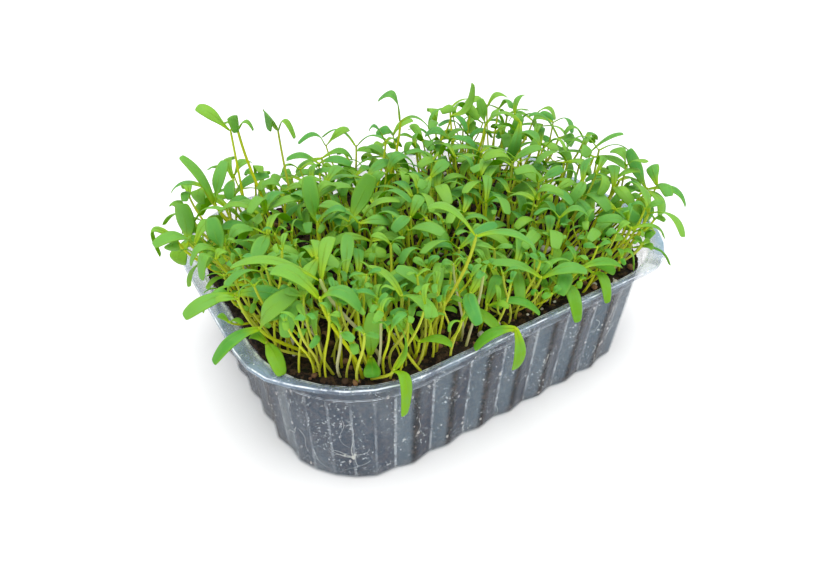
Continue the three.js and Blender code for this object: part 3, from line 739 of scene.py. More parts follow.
def make_rod(name, sides, cuts):
    bm = bmesh.new()
    bmesh.ops.create_cone(bm, cap_ends=True, segments=sides, radius1=1, radius2=1, depth=2)
    upright = [edge for edge in bm.edges if abs(edge.verts[0].co.z - edge.verts[1].co.z) > 1]
    bmesh.ops.subdivide_edges(bm, edges=upright, cuts=cuts)
    keep_blank(name, bm)


def make_slab(name):
    bm = bmesh.new()
    bmesh.ops.create_grid(bm, x_segments=LEAF_ROWS, y_segments=LEAF_COLUMNS, size=1)
    bmesh.ops.solidify(bm, geom=bm.faces[:], thickness=1)
    keep_blank(name, bm)


def add_copy(bm, name, points, notes, material=0):
    """Adds a bent copy of a blank, with notes for its finish at every vertex."""
    first_vert, first_face = len(bm.verts), len(bm.faces)
    bm.from_mesh(blanks[name])
    bm.verts.ensure_lookup_table()
    bm.faces.ensure_lookup_table()
    for number, point in enumerate(points):
        bm.verts[first_vert + number].co = point
    for key, values in notes.items():
        layer = bm.verts.layers.float_vector[key]
        for number, value in enumerate(values):
            bm.verts[first_vert + number][layer] = value
    for number in range(first_face, len(bm.faces)):
        bm.faces[number].material_index = material


make_ball("ball", 2)
make_ball("chip", 1)
make_rod("root", 4, ROOT_CUTS)
make_rod("stem", 5, STEM_CUTS)
make_slab("leaf")
print("blanks:", {name: len(mesh.polygons) for name, mesh in blanks.items()}, "faces")

# %% [markdown]
# ## Crumbs, perlite and roots
# Loose crumbs lie on the soil, with a few white stones of perlite among them. Against the wall, where
# roots turn back from the plastic, thin white roots wander down and bits of perlite are pressed flat.
# At the front corner some meet in a knot. A crumb is the chip and a stone the ball, pushed in and out by
# noise. A root is the thin rod, bent along the soil's side. Each takes its place from a row of seeded
# draws, which are the same on every run.

# %% Seeded draws
DRAW_STEP = 48271
DRAW_RANGE = 2**31 - 1


def seeded_draws(seed, count):
    """Numbers between 0 and 1, the same ones on every run."""
    state, drawn = seed, []
    for _ in range(count):
        state = state * DRAW_STEP % DRAW_RANGE
        drawn.append(state / DRAW_RANGE)
    return np.array(drawn)


def between(limits, drawn):
    """A number between two limits, by a draw from 0 to 1."""
    return limits[0] + (limits[1] - limits[0]) * drawn


print("first draws:", seeded_draws(1, 3).round(3))

# %% Crumbs and perlite on the top
DEBRIS_SEED = 3391
LUMP_DRAWS = 7
LUMP_UNEVENNESS = 0.4
LUMP_SQUASHES = ((0.8, 1.3), (0.8, 1.3), (0.7, 1.0))
DIMPLES_ROUND_A_LUMP = 1.3
LITTER_REACH = 36.5
LITTER_BOX = CORNER + 37
LIFTED = 0.3


def turned(points, draw):
    """Points turned by a share of a full turn about a slanting axis."""
    turn = Matrix.Rotation(2 * math.pi * draw, 3, Vector((0.3, 0.2, 1)))
    return points @ np.array(turn)


def add_lump(bm, blank, middle, size, squash, draw):
    """A ball or chip pushed in and out by noise, turned by the draw, and squashed along x, y and z."""
    lump = blank_places[blank]
    spots = lump * DIMPLES_ROUND_A_LUMP + np.array(middle)
    bulges = [1 + LUMP_UNEVENNESS * noise.noise(Vector(spot)) for spot in spots]
    points = turned(lump * np.array(bulges)[:, None] * size, draw) * squash + np.array(middle)
    add_copy(bm, blank, points, {"tint": [(draw, 0, 0)] * len(points)})


def strew(name, blank, count, sizes, paint, seed):
    """Lumps at random places on the soil."""
    bm = new_mesh("tint")
    for draw in seeded_draws(seed, count * LUMP_DRAWS).reshape(count, LUMP_DRAWS):
        x, y = (2 * draw[:2] - 1) * LITTER_BOX
        if beyond_corners(x, y) > LITTER_REACH:
            continue
        size = between(sizes, draw[2] ** 2)
        middle = (x, y, soil_height(x, y) + LIFTED * size)
        squash = [between(limits, drawn) for limits, drawn in zip(LUMP_SQUASHES, draw[3:6])]
        add_lump(bm, blank, middle, size, squash, draw[6])
    piece = add_piece(bm, name, [paint])
    print(name, len(piece.data.polygons), "faces")


strew("crumbs", "chip", 1700, (0.35, 1.6), crumb_paint, DEBRIS_SEED)
strew("perlite", "ball", 150, (0.4, 2.2), perlite_paint, DEBRIS_SEED + 1)

# %% Bits pressed against the wall
BITS = 330
BIT_DRAWS = 5
BIT_HEIGHTS = (2, 40)
BIT_SIZES = (0.2, 1.0)
BIT_SQUASHES = (0.8, 1.3)
BIT_FLATNESS = 0.55


def soil_side(turn, z):
    """The place on the soil's side at a share of the way round, and the way out from there."""
    ring = soil_ring(z)
    position = (turn % 1) * len(ring)
    first = int(position)
    here, following = ring[first], ring[(first + 1) % len(ring)]
    point = here + (following - here) * (position - first)
    out = np.array([(following - here)[1], -(following - here)[0], 0])
    return point, out / np.linalg.norm(out)


def make_bits():
    bm = new_mesh("tint")
    for draw in seeded_draws(DEBRIS_SEED + 2, BITS * BIT_DRAWS).reshape(BITS, BIT_DRAWS):
        point, out = soil_side(draw[0], between(BIT_HEIGHTS, draw[1]))
        size = between(BIT_SIZES, draw[2] ** 3)
        flat = 1 - BIT_FLATNESS * np.abs(out)
        add_lump(bm, "chip", point, size, flat * between(BIT_SQUASHES, draw[3]), draw[4])
    piece = add_piece(bm, "perlite_bits", [perlite_paint])
    print("perlite bits:", len(piece.data.polygons), "faces")


make_bits()

# %% Roots behind the wall
ROOT_SEED = 77
ROOTS, ROOT_DRAWS = 46, 6
ROUND_THE_TRAY = 545.0
ROOT_HEIGHTS = (6, 39)
ROOTS_HEAD, ROOTS_SWING = -90, 40
ROOT_LENGTHS = (4, 18)
ROOT_BENDS = (-0.6, 0.6)
ROOT_RADII = (0.14, 0.28)
ROOT_WAVES, ROOT_WAVINESS, ROOT_PHASES = 5, 0.5, 9
ROOT_TAPER = 0.6
LOWEST_ROOT, HIGHEST_ROOT = 1.5, 40
ROOT_KNOT = (-69.2, -61.0, 12.0)
KNOT_ROOTS = [(92, 21, 0.3), (150, 8, 0.7), (20, 8, 0.6), (200, 8, -0.9), (-20, 7, -1), (175, 6, 0.5)]
KNOT_RADIUS = 0.3
KNOT_LUMPS = [(0, 0, 1.3), (0.8, 1.3, 0.9), (-0.9, 0.8, 0.8)]
KNOT_FLATNESS = 0.6


def unit(vectors):
    return vectors / np.linalg.norm(vectors, axis=-1, keepdims=True)


def dot(first, second):
    return (first * second).sum(axis=-1, keepdims=True)


def add_root(bm, turn, z, degrees, length, bend, radius):
    """A root on the soil's side: it starts at a turn and height, and heads off at an angle."""
    rod = blank_places["root"]
    part = (rod[:, 2] + 1) / 2
    levels, ring = np.unique(np.round(part, 4), return_inverse=True)
    wave = ROOT_WAVINESS * np.sin(ROOT_WAVES * levels + ROOT_PHASES * turn)
    angle = math.radians(degrees) + bend * levels + wave
    steps = length * np.diff(levels, prepend=0)
    along_wall = np.cumsum(steps * np.cos(angle)) / ROUND_THE_TRAY
    up_wall = z + np.cumsum(steps * np.sin(angle))
    up_wall = np.clip(up_wall, LOWEST_ROOT, HIGHEST_ROOT)
    sides = [soil_side(turn + step, height) for step, height in zip(along_wall, up_wall)]
    middle = np.array([point for point, _ in sides])
    out = np.array([way for _, way in sides])
    way = unit(np.gradient(middle, axis=0))
    first = unit(out - way * dot(out, way))
    second = np.cross(way, first)
    thick = radius * (1 - ROOT_TAPER * part)[:, None]
    points = middle[ring] + first[ring] * thick * rod[:, :1] + second[ring] * thick * rod[:, 1:2]
    add_copy(bm, "root", points, {})


def make_roots():
    bm = new_mesh("tint")
    for draw in seeded_draws(ROOT_SEED, ROOTS * ROOT_DRAWS).reshape(ROOTS, ROOT_DRAWS):
        start, heading = between(ROOT_HEIGHTS, draw[1]), ROOTS_HEAD + ROOTS_SWING * (2 * draw[2] - 1)
        length, bend = between(ROOT_LENGTHS, draw[3] ** 2), between(ROOT_BENDS, draw[4])
        add_root(bm, draw[0], start, heading, length, bend, between(ROOT_RADII, draw[5]))
    ring = soil_ring(ROOT_KNOT[2])
    nearest = np.argmin(np.hypot(ring[:, 0] - ROOT_KNOT[0], ring[:, 1] - ROOT_KNOT[1]))
    for degrees, length, bend in KNOT_ROOTS:
        add_root(bm, nearest / len(ring), ROOT_KNOT[2], degrees, length, bend, KNOT_RADIUS)
    for along_wall, up_wall, size in KNOT_LUMPS:
        point, out = soil_side((nearest + along_wall) / len(ring), ROOT_KNOT[2] + up_wall)
        add_lump(bm, "ball", point, size, 1 - KNOT_FLATNESS * np.abs(out), draw=0.5)
    roots = add_piece(bm, "roots", [root_paint])
    round_off(roots)
    print("roots:", len(roots.data.polygons), "faces")


make_roots()

# %% [markdown]
# ## Where the seedlings stand
# The frame's tufts were sown by a rule: 56 sites in staggered rows, some seedlings listed one by one where
# they stand out in the photo, and the others drawn by a seeded generator and kept only where there was
# room. The same rule is run here, so that each fine seedling grows just where its plain one did.
#
# Each listed seedling has its root, the apex where its two seed leaves meet, and for each leaf the
# tip, the width, the arch (how far its middle bows to the side that it faces) and the way it faces.

# %% Seedlings listed one by one
UP = [0, 0, 1]
HAND_PLACED = [
    [[-60, 50], [-60, 50, 93], [[-70, 56, 104], 5.6, 2, [-0.2, -0.5, 0.8]], [[-58, 44, 93], 5.4, 7, UP]],
    [[-55, 43], [-56, 54, 91], [[-49, 50, 91], 4.6, 4, UP], [[-58, 64, 91], 4, 2, UP]],
    [[-40, 40], [-43, 42, 92], [[-50, 41, 93], 8, 10, [-0.15, -0.4, 0.9]], [[-38, 36, 89], 4.4, 6, UP]],
    [[-64, 27], [-76, 33, 72],
     [[-82, 39, 92], 5.6, 2, [0.6, -0.7, 0.3]], [[-68, 36, 87], 5, 3, [-0.4, -0.7, 0.4]]],
    [[-64, 36], [-77, 44, 75], [[-81, 42, 67], 6.4, 4, [-0.4, -0.6, 0.7]], [[-89, 52, 73], 4.5, 3, UP]],
    [[-80, 6], [-96, 16, 71],
     [[-104, 19, 64], 5, 9, [-0.3, 0.2, 1]], [[-99, 11, 68], 5.6, 3, [-0.3, -0.7, 0.5]]],
    [[-72, 14], [-91, 26, 63],
     [[-91, 23, 78], 7.4, -2, [-0.4, -0.7, 0.4]], [[-97, 24, 54], 7.4, 4, [-0.5, -0.7, 0.4]]],
    [[-72, -40], [-86, -37, 62], [[-103, -37, 56], 6.4, 3, UP], [[-75, -45, 77], 6.8, 5, [-0.6, -0.4, 0.5]]],
    [[-69, -49], [-85, -38, 56], [[-85, -51, 52], 5.4, 3, UP], [[-89, -33, 58], 4.4, 2, UP]],
    [[-66, -57], [-71, -53, 78], [[-81, -43, 86], 7.4, 4, UP], [[-61, -62, 76], 7, 5, UP]],
    [[-52, -56], [-67, -45, 78], [[-89, -29, 82], 5, 5, UP], [[-57, -34, 86], 5, 3, UP]],
    [[-57, -54], [-59, -60, 54],
     [[-59, -63, 73], 5.8, 2, [-0.6, -0.8, 0.2]], [[-63, -68, 52], 5.8, 2, [-0.2, -0.6, 0.7]]],
    [[-62, -58], [-57, -71, 56],
     [[-56, -68, 74], 4.8, -4, [-0.9, 0.4, 0.2]], [[-58, -79, 43], 5.6, 6, [0.3, -0.2, 1]]],
    [[-44, -60], [-44, -65, 57], [[-51, -55, 62], 4.8, 4, UP], [[-35, -72, 57], 4.6, 2, UP]],
    [[-29, -57], [-31, -56, 63], [[-42, -48, 75], 5, 3, [-0.2, -0.3, 1]], [[-24, -47, 70], 4.4, 2, UP]],
    [[-38, -60], [-26, -68, 92], [[-37, -58, 101], 5, 4, UP], [[-11, -79, 90], 4.6, 3, UP]],
    [[-4, -60], [-16, -79, 59], [[-30, -73, 54], 5.4, 3, UP], [[-16, -82, 42], 5, 3, [-0.1, -0.8, 0.5]]],
    [[-14, -60], [-14, -62, 57], [[1, -75, 57], 5.4, 4, UP], [[-4, -56, 63], 4.8, 2, UP]],
    [[10, -59], [14, -68, 58], [[13, -82, 50], 6, 6, UP], [[9, -58, 64], 5, 2, UP]],
    [[36, -57], [33, -67, 55.5], [[31, -79, 49], 4.8, 5, UP], [[24, -63, 58], 4.4, 2, UP]],
    [[46, -52], [46, -64, 55], [[53, -72, 52], 5.4, 7, [0.2, 0, 1]], [[48, -58, 50], 4.2, 3, UP]],
    [[67, -38], [82, -48, 68], [[85, -59, 61], 5.4, 3, [0.3, -0.3, 0.9]], [[67, -43, 64], 5.6, 4, UP]],
    [[72, -24], [91, -42, 64],
     [[82, -36, 81], 5.6, -1, [-0.5, -0.7, 0.4]], [[103, -57, 59], 6.4, 5, [0.1, -0.3, 1]]],
    [[78, -6], [86, -12, 72], [[96, -20, 81], 5, 2, UP], [[77, -2, 76], 4.6, 3, UP]],
    [[60, -48], [70, -54, 70],
     [[64, -56, 57], 7.6, 2, [-0.5, -0.7, 0.3]], [[72, -59, 60], 7, 3, [-0.1, -0.8, 0.5]]],
    [[4, 38], [11, 34, 87], [[2, 39, 97], 5.6, 9, [0.1, -0.5, 1]], [[24, 29, 82], 4.4, 4, UP]],
    [[30, 52], [45, 42, 80], [[53, 38, 95], 5.6, -6, [-0.7, -0.1, 0.7]], [[48, 31, 76], 4.4, 3, UP]],
    [[50, 33], [56, 29, 78], [[53, 31, 90], 5, 1, [-0.5, -0.7, 0.2]], [[69, 28, 77], 4.2, 5, UP]],
    [[-2, 36], [6, 39, 77], [[-1, 44, 82], 4.6, 5, UP], [[16, 42, 71], 4.4, 3, UP]],
    [[-50, -4], [-50, -6, 74], [[-52, -7, 93], 6.4, 2, [-0.6, -0.8, 0.1]], [[-40, -12, 80], 5.4, 3, UP]],
    [[-36, -4], [-36, -4, 69], [[-27, -6, 86], 7.6, -2, [-0.5, -0.8, 0.4]], [[-46, 5, 66], 5, 4, UP]],
    [[66, 12], [64, 14, 82], [[58, 12, 64], 6, 4, [-0.3, -0.6, 0.3]], [[55, 24, 84], 4.6, 3, UP]],
    [[-74, -4], [-84, 2, 68], [[-85, 3, 82], 6.4, 1, [-0.4, -0.8, 0.1]], [[-97, 4, 67], 6.2, 6, UP]],
    [[-70, -12], [-88, -5, 71], [[-96, -7, 66], 6, 6, UP], [[-83, -3, 71], 4.8, 2, UP]],
    [[74, 12], [83, 6, 73], [[69, 15, 85], 4.8, 5, UP], [[87, 0, 70], 6.4, 4, [-0.3, -0.6, 0.7]]],
    [[78, -2], [86, -7, 76], [[75, -2, 80], 4.6, 5, UP], [[96, -6, 74], 4.8, 3, UP]],
    [[72, -30], [77, -60, 55], [[70, -57, 56], 5, 3, UP], [[70, -61, 55], 4, 2, UP]],
]
print("placed by hand:", len(HAND_PLACED), "seedlings")

# %% [markdown]
# ## Curves for stems and leaves
# A stem is a cubic curve and a midrib a quadratic one, as in any drawing program. The functions work on
# whole stacks of curves at once: numpy then tests seven hundred candidate seedlings in one go. The
# blade's shape here is the plain one of the frame, which decides how much room a leaf takes.

# %% Curves of stems and midribs
STEM_LOW_RISE = 0.45
STEM_HIGH_LEAN = 0.12
STEM_HIGH_DROP = 0.3
TANGENT_STEP = 0.0001


def curve_at(ends, part):
    """Points on curves with 3 or 4 control points, stacked as (curve, control, xyz)."""
    part = np.asarray(part, float)[..., None]
    rest = 1 - part
    controls = [ends[..., i, None, :] for i in range(ends.shape[-2])]
    if len(controls) == 3:
        weights = (rest * rest, 2 * rest * part, part * part)
    else:
        weights = (rest**3, 3 * rest**2 * part, 3 * rest * part**2, part**3)
    return sum(weight * control for weight, control in zip(weights, controls))


def way_along(ends, part):
    """The directions of curves at parts of their length."""
    part = np.asarray(part, float)
    ahead = curve_at(ends, np.minimum(part + TANGENT_STEP, 1))
    behind = curve_at(ends, np.maximum(part - TANGENT_STEP, 0))
    return unit(ahead - behind)


def stem_ends(root, apex, bow):
    """The control points of a stem: it leaves the soil upright, and its bow is sideways."""
    rise = (apex - root)[..., 2:3]
    upright = np.array([0.0, 0.0, 1.0])
    sideways = np.concatenate([bow, np.zeros_like(rise)], axis=-1)
    low = root + sideways + upright * STEM_LOW_RISE * rise
    high = apex + (root - apex) * STEM_HIGH_LEAN - upright * STEM_HIGH_DROP * rise
    return np.stack([root, low, high, apex], axis=-2)


def leaf_ends(apex, leaf):
    """The control points of a midrib, which arches to the side that the leaf faces."""
    middle = (apex + leaf["tip"]) / 2 + leaf["face"] * 2 * leaf["arch"][..., None]
    return np.stack([apex, middle, leaf["tip"]], axis=-2)


straight_stem = stem_ends(np.zeros(3), np.array([0, 0, 30.0]), np.zeros(2))
print("a straight 30 mm stem's control points:", straight_stem[:, 2], "mm up")

# %% Shape and frame of a leaf
BLADE_NECK = 0.22
BLADE_FULL_FROM = 0.5
BLADE_FULL_TO = 0.6
FACE_SETTLES_AT = 0.4


def blade_shape(part):
    """How wide the frame's plain blade is along its length, as a share of its full width."""
    spread = BLADE_NECK + (1 - BLADE_NECK) * smooth_step(0, BLADE_FULL_FROM, part)
    round_end = np.maximum(part - BLADE_FULL_TO, 0) / (1 - BLADE_FULL_TO)
    return spread * np.sqrt(np.maximum(1 - round_end**2, 0))


def leaf_frame(leaf, part):
    """Middle, upward and sideways directions at parts of a leaf's length."""
    along_it = way_along(leaf["ends"], part)
    settled = smooth_step(0, FACE_SETTLES_AT, np.asarray(part, float))[:, None]
    start = leaf["start_face"][..., None, :]
    face = start + (leaf["face"][..., None, :] - start) * settled
    up = unit(face - along_it * dot(face, along_it))
    return curve_at(leaf["ends"], part), up, np.cross(along_it, up)


def complete(plan):
    """Adds the curves of the stem and leaves to a plan, and the way each leaf faces at the apex."""
    plan["stem"] = stem_ends(plan["root"], plan["apex"], plan["bow"])
    for leaf in plan["leaves"]:
        leaf["ends"] = leaf_ends(plan["apex"], leaf)
    ways = [way_along(leaf["ends"], [0])[..., 0, :] for leaf in plan["leaves"]]
    middle_way = way_along(plan["stem"], [1])[..., 0, :] + ways[0] + ways[1]
    for leaf, way in zip(plan["leaves"], ways):
        leaf["start_face"] = unit(middle_way - way * dot(middle_way, way))
    return plan


print("a plain blade's width at its neck, middle and tip:", blade_shape(np.array([0, 0.5, 1])))

# %% [markdown]
# ## Room to grow
# Two leaves may not pass through each other. Space is cut into half-millimetre cells, and each seedling
# that is kept claims the cells near it. A candidate is kept only if all its sample points are free and
# none is in the tray's wall or the soil.

# %% Sample points, the pot, and the room that is taken
WALL = 0.9
RIM_CLEARANCE = 1.6
STEM_SAMPLES = 50
STEM_FREE_START = 4
LEAF_SAMPLES = 20
ACROSS_SAMPLES = 3
CELL = 0.5
ROOM_MIN = np.array([-130.0, -110.0, 36.0])
ROOM_CELLS = np.array([520, 440, 180])
ROOM_EDGE = 5


def sample_points(plan):
    """Points over each seedling of a stack, and whether each one counts."""
    stem = curve_at(plan["stem"], np.arange(STEM_SAMPLES + 1) / STEM_SAMPLES)
    points = [stem]
    counts = [stem[..., 2] > SOIL_TOP + STEM_FREE_START]
    part = np.arange(1, LEAF_SAMPLES + 1) / LEAF_SAMPLES
    for leaf in plan["leaves"]:
        middle, _, side = leaf_frame(leaf, part)
        step = (leaf["width"] / 2)[..., None] * blade_shape(part) / ACROSS_SAMPLES
        for j in range(-ACROSS_SAMPLES, ACROSS_SAMPLES + 1):
            points.append(middle + side * (step * j)[..., None])
            counts.append(np.ones(step.shape, bool))
    return np.concatenate(points, axis=-2), np.concatenate(counts, axis=-1)


def hits_pot(points):
    """Which points are in the tray's wall, in the soil, or too near to them."""
    x, y, z = np.moveaxis(points, -1, 0)
    reach = beyond_corners(x, y)
    inside = reach < RIM_RADIUS - PLEAT_TOP_INSET - WALL - RIM_CLEARANCE
    widest = FLANGE_WIDTH + FLANGE_RIGHT_EXTRA * (x > CORNER[0]) + FLANGE_LEFT_EXTRA * (x < -CORNER[0])
    in_wall = np.where(inside, z < SOIL_TOP + RIM_CLEARANCE, reach < RIM_RADIUS + widest + RIM_CLEARANCE)
    return in_wall & (z <= TRAY_HEIGHT + RIM_CLEARANCE)


class Room:
    """Cells of space that seedlings have claimed, each with some clearance round it."""

    def __init__(self, clearance):
        self.taken = np.zeros(ROOM_CELLS, bool)
        reach = math.ceil(clearance / CELL)
        steps = np.arange(-reach, reach + 1)
        offsets = np.stack(np.meshgrid(steps, steps, steps, indexing="ij"), axis=-1).reshape(-1, 3)
        self.near = offsets[np.linalg.norm(offsets, axis=1) * CELL <= clearance]

    def cells(self, points):
        steps = np.floor((points - ROOM_MIN) / CELL).astype(int)
        return np.clip(steps, ROOM_EDGE, ROOM_CELLS - 1 - ROOM_EDGE)

    def is_free(self, cells):
        return not self.taken[tuple(cells.T)].any()

    def take(self, cells):
        claimed = (cells[:, None] + self.near).reshape(-1, 3)
        self.taken[tuple(claimed.T)] = True


print("room:", ROOM_CELLS * CELL, "mm, in cells of", CELL, "mm")

# %% [markdown]
# ## Sowing
# The rule draws nineteen numbers for each candidate: root, height, lean, then the heading, rise, roll,
# length, width and arch of its leaves, and last how far its stem bows. Near the wall the seedlings lean
# out, as they do towards light. They are taller at the right and at the front corner, lower elsewhere.

# %% How tall they grow and how far they lean, by place
TALLER_RIGHT, TALLER_CORNER = 6, 11
LOWER_BACK, LOWER_FRONT = 6, 4
LEAN_ENDS, LEAN_SIDES, LEAN_LEFT_EDGE = 12, 11, 3


def extra_height(x, y):
    """How much taller than usual the seedlings grow at x, y: less than 0 where they stay lower."""
    edge_x, edge_y = towards_edges(x, y)
    corner = smooth_step(0.6, 0.9, towards_front(x, y))
    back = smooth_step(0.1, 0.7, edge_y) * (1 - smooth_step(0.3, 0.8, edge_x))
    front = smooth_step(0.3, 0.8, -edge_y)
    taller = TALLER_RIGHT * smooth_step(0.3, 0.85, edge_x) + TALLER_CORNER * corner
    return taller - LOWER_BACK * back - LOWER_FRONT * front


def lean_outwards(x, y):
    """How far out the seedlings lean at x, y: least at the front corner and at the back left."""
    edge_x, edge_y = towards_edges(x, y)
    corner = smooth_step(0.6, 0.9, towards_front(x, y))
    left_back = smooth_step(0.25, 0.65, edge_y) * smooth_step(0.2, 0.5, -edge_x)
    lean_left = LEAN_LEFT_EDGE * smooth_step(0.55, 0.65, -edge_x)
    out_x = (LEAN_ENDS * edge_x * np.abs(edge_x) - lean_left) * (1 - left_back) * (1 - corner)
    return out_x, LEAN_SIDES * edge_y * np.abs(edge_y) * (1 - corner)


print("extra height at the right end:", round(extra_height(80, 0), 1), "mm")

# %% Draw candidates for a site
Limits = namedtuple("Limits", "heights scatter rises rolls lengths widths arches bows")
FULL_GROWN = Limits(
    heights=(12, 29), scatter=(-6, 6), rises=(-0.6, 0.4), rolls=(-0.55, 0.55),
    lengths=(13.5, 19), widths=(4.4, 6.2), arches=(0.1, 0.32), bows=(-3, 3),
)
ROOT_Z = 39.5
DRAWS = 19
LEAF_TURNS = (-0.45, 0.45)
SECOND_LEAF_LENGTHS = (0.85, 1.1)


def ruled_leaf(apex, heading, length, draws, limits):
    rise = between(limits.rises, draws[0])
    roll = between(limits.rolls, draws[1])[:, None]
    flat = np.cos(rise)
    chord = np.stack([np.cos(heading) * flat, np.sin(heading) * flat, np.sin(rise)], axis=-1)
    upright = unit(np.array([0.0, 0.0, 1.0]) - chord * chord[:, 2:3])
    face = upright * np.cos(roll) + np.cross(chord, upright) * np.sin(roll)
    return {
        "tip": apex + chord * length[:, None],
        "width": between(limits.widths, draws[2]),
        "arch": length * between(limits.arches, draws[3]),
        "face": face,
    }


def ruled_seedlings(x, y, draws, limits):
    """A stack of candidates with roots at x, y: one for each column of draws."""
    out_x, out_y = lean_outwards(x, y)
    lean_x = out_x + between(limits.scatter, draws[3])
    lean_y = out_y + between(limits.scatter, draws[4])
    tall = between(limits.heights, draws[2]) + extra_height(x, y)
    apex = np.stack([x + lean_x, y + lean_y, SOIL_TOP + tall], axis=-1)
    heading = 2 * math.pi * draws[5]
    length = between(limits.lengths, draws[7])
    first = ruled_leaf(apex, heading, length, draws[8:12], limits)
    opposite = heading + math.pi + between(LEAF_TURNS, draws[6])
    second_length = length * between(SECOND_LEAF_LENGTHS, draws[12])
    second = ruled_leaf(apex, opposite, second_length, draws[13:17], limits)
    return complete({
        "root": np.stack([x, y, np.full_like(x, ROOT_Z)], axis=-1),
        "apex": apex,
        "bow": np.stack([between(limits.bows, draws[17]), between(limits.bows, draws[18])], axis=-1),
        "leaves": [first, second],
    })


def picked_from(stack, which):
    """One seedling of a stack by its number, or several by a mask."""
    picked = {key: stack[key][which] for key in ("root", "apex", "bow", "stem")}
    picked["leaves"] = [{key: leaf[key][which] for key in leaf} for leaf in stack["leaves"]]
    return picked


print("full-grown seedlings:", FULL_GROWN)

# %% Sites of the root clumps
ROW_STEP, ROWS_EACH_WAY = 18.0, 3
SITE_STEP, SITES_EACH_WAY = 18.6, 4
SITE_REACH = 28.0


def root_sites():
    """The middles of the root clumps, in staggered rows."""
    sites = []
    for row in range(-ROWS_EACH_WAY, ROWS_EACH_WAY + 1):
        shift = 0 if row % 2 else SITE_STEP / 2
        for column in range(-SITES_EACH_WAY - 1, SITES_EACH_WAY + 1):
            x, y = column * SITE_STEP + shift, row * ROW_STEP
            if beyond_corners(x, y) <= SITE_REACH:
                sites.append(np.array([x, y]))
    return sites


sites = root_sites()
print("sites:", len(sites))

# %% Sow every site
ROOT_REACH = 5.0
SEEDLINGS_PER_SITE = 4
SEED = 20261
TRIES = 700
CLEARANCE = 1.7
SMALL_CLEARANCE = 0.8


def hand_placed(site, root, apex, leaves):
    """A seedling from its row in the list, its root kept within reach of the site."""
    root = site + np.clip(np.array(root, float) - site, -ROOT_REACH, ROOT_REACH)
    return complete({
        "root": np.array([*root, ROOT_Z]),
        "apex": np.array(apex, float),
        "bow": np.zeros(2),
        "leaves": [{"tip": np.array(tip, float), "width": np.float64(width), "arch": np.float64(arch),
                    "face": unit(np.array(face, float))} for tip, width, arch, face in leaves],
    })


def claim(points):
    """Takes the room at some points, both for full-grown seedlings and for later ones."""
    cells = room.cells(points)
    room.take(cells)
    close_room.take(cells)


def those_with_room(stack, space, most):
    """The first seedlings of a stack that touch neither the pot nor one another."""
    kept = []
    points, counts = sample_points(stack)
    clear_of_pot = ~(hits_pot(points) & counts).any(axis=-1)
    for number in np.flatnonzero(clear_of_pot):
        if len(kept) >= most:
            break
        own = points[number][counts[number]]
        if space.is_free(space.cells(own)):
            claim(own)
            kept.append(picked_from(stack, number))
    return kept


def sow():
    """The kept seedlings of every site: first the listed ones, then those by rule."""
    tufts = [[] for _ in sites]
    for root, apex, *leaves in HAND_PLACED:
        nearest = int(np.argmin([math.hypot(*(site - root)) for site in sites]))
        plan = hand_placed(sites[nearest], root, apex, leaves)
        points, counts = sample_points(plan)
        claim(points[counts])
        tufts[nearest].append(plan)
    for index, site in enumerate(sites):
        draws = seeded_draws(SEED + index, TRIES * DRAWS).reshape(TRIES, DRAWS).T
        x = site[0] + (2 * draws[0] - 1) * ROOT_REACH
        y = site[1] + (2 * draws[1] - 1) * ROOT_REACH
        stack = ruled_seedlings(x, y, draws, FULL_GROWN)
        tufts[index] += those_with_room(stack, room, SEEDLINGS_PER_SITE - len(tufts[index]))
    return tufts


room = Room(CLEARANCE)
close_room = Room(SMALL_CLEARANCE)
tufts = sow()
print("sown:", sum(len(tuft) for tuft in tufts), "seedlings at", len(sites), "sites")

# %% [markdown]
# ## Filling the gaps
# A sown tray is never even. Between the full-grown seedlings stand later ones, smaller and at all
# heights, and at the front thin ones, whose bowed stems make a yellow thicket. They are drawn by the
# same rule with smaller limits, root anywhere in the soil, and may stand closer to their neighbours.

# %% Sow the later seedlings
LATER = Limits(
    heights=(12, 32), scatter=(-9, 9), rises=(-0.7, 0.6), rolls=(-0.8, 0.8),
    lengths=(9.5, 15.5), widths=(3.8, 5.8), arches=(0.15, 0.5), bows=(-5, 5),
)
THREAD = Limits(
    heights=(14, 29), scatter=(-10, 10), rises=(-0.1, 0.9), rolls=(-0.8, 0.8),
    lengths=(4.5, 8), widths=(1.9, 3), arches=(0.1, 0.35), bows=(-8, 8),
)
LATER_SEED, LATER_BATCHES = 4107, 90
THREAD_SEED, THREAD_BATCHES = 880, 110
CANDIDATES_PER_BATCH = 420
KEPT_PER_BATCH = 7
LATER_REACH = 36.5
THREADS_FROM, LATER_UP_TO = 0.25, 0.3
OVERHANG, OVERHANG_LEFT = 5, 12


def within_rim(stack):
    """Which seedlings of a stack lean no further out than the real ones do."""
    tips = np.stack([leaf["tip"] for leaf in stack["leaves"]])
    allowed = RIM_RADIUS + np.where(tips[..., 0] < -CORNER[0], OVERHANG_LEFT, OVERHANG)
    return (beyond_corners(tips[..., 0], tips[..., 1]) < allowed).all(axis=0)


def sow_later(seed, batches, limits, front_only):
    """Seedlings between the tufts, sown in batches: at the front corner only, or everywhere else."""
    later = []
    for batch in range(batches):
        draws = seeded_draws(seed + batch, CANDIDATES_PER_BATCH * DRAWS)
        draws = draws.reshape(CANDIDATES_PER_BATCH, DRAWS).T
        x = (2 * draws[0] - 1) * (CORNER[0] + LATER_REACH)
        y = (2 * draws[1] - 1) * (CORNER[1] + LATER_REACH)
        good = beyond_corners(x, y) <= LATER_REACH
        front = towards_front(x, y)
        good &= front > THREADS_FROM if front_only else front < LATER_UP_TO
        stack = ruled_seedlings(x[good], y[good], draws[:, good], limits)
        later += those_with_room(picked_from(stack, within_rim(stack)), close_room, KEPT_PER_BATCH)
    return later


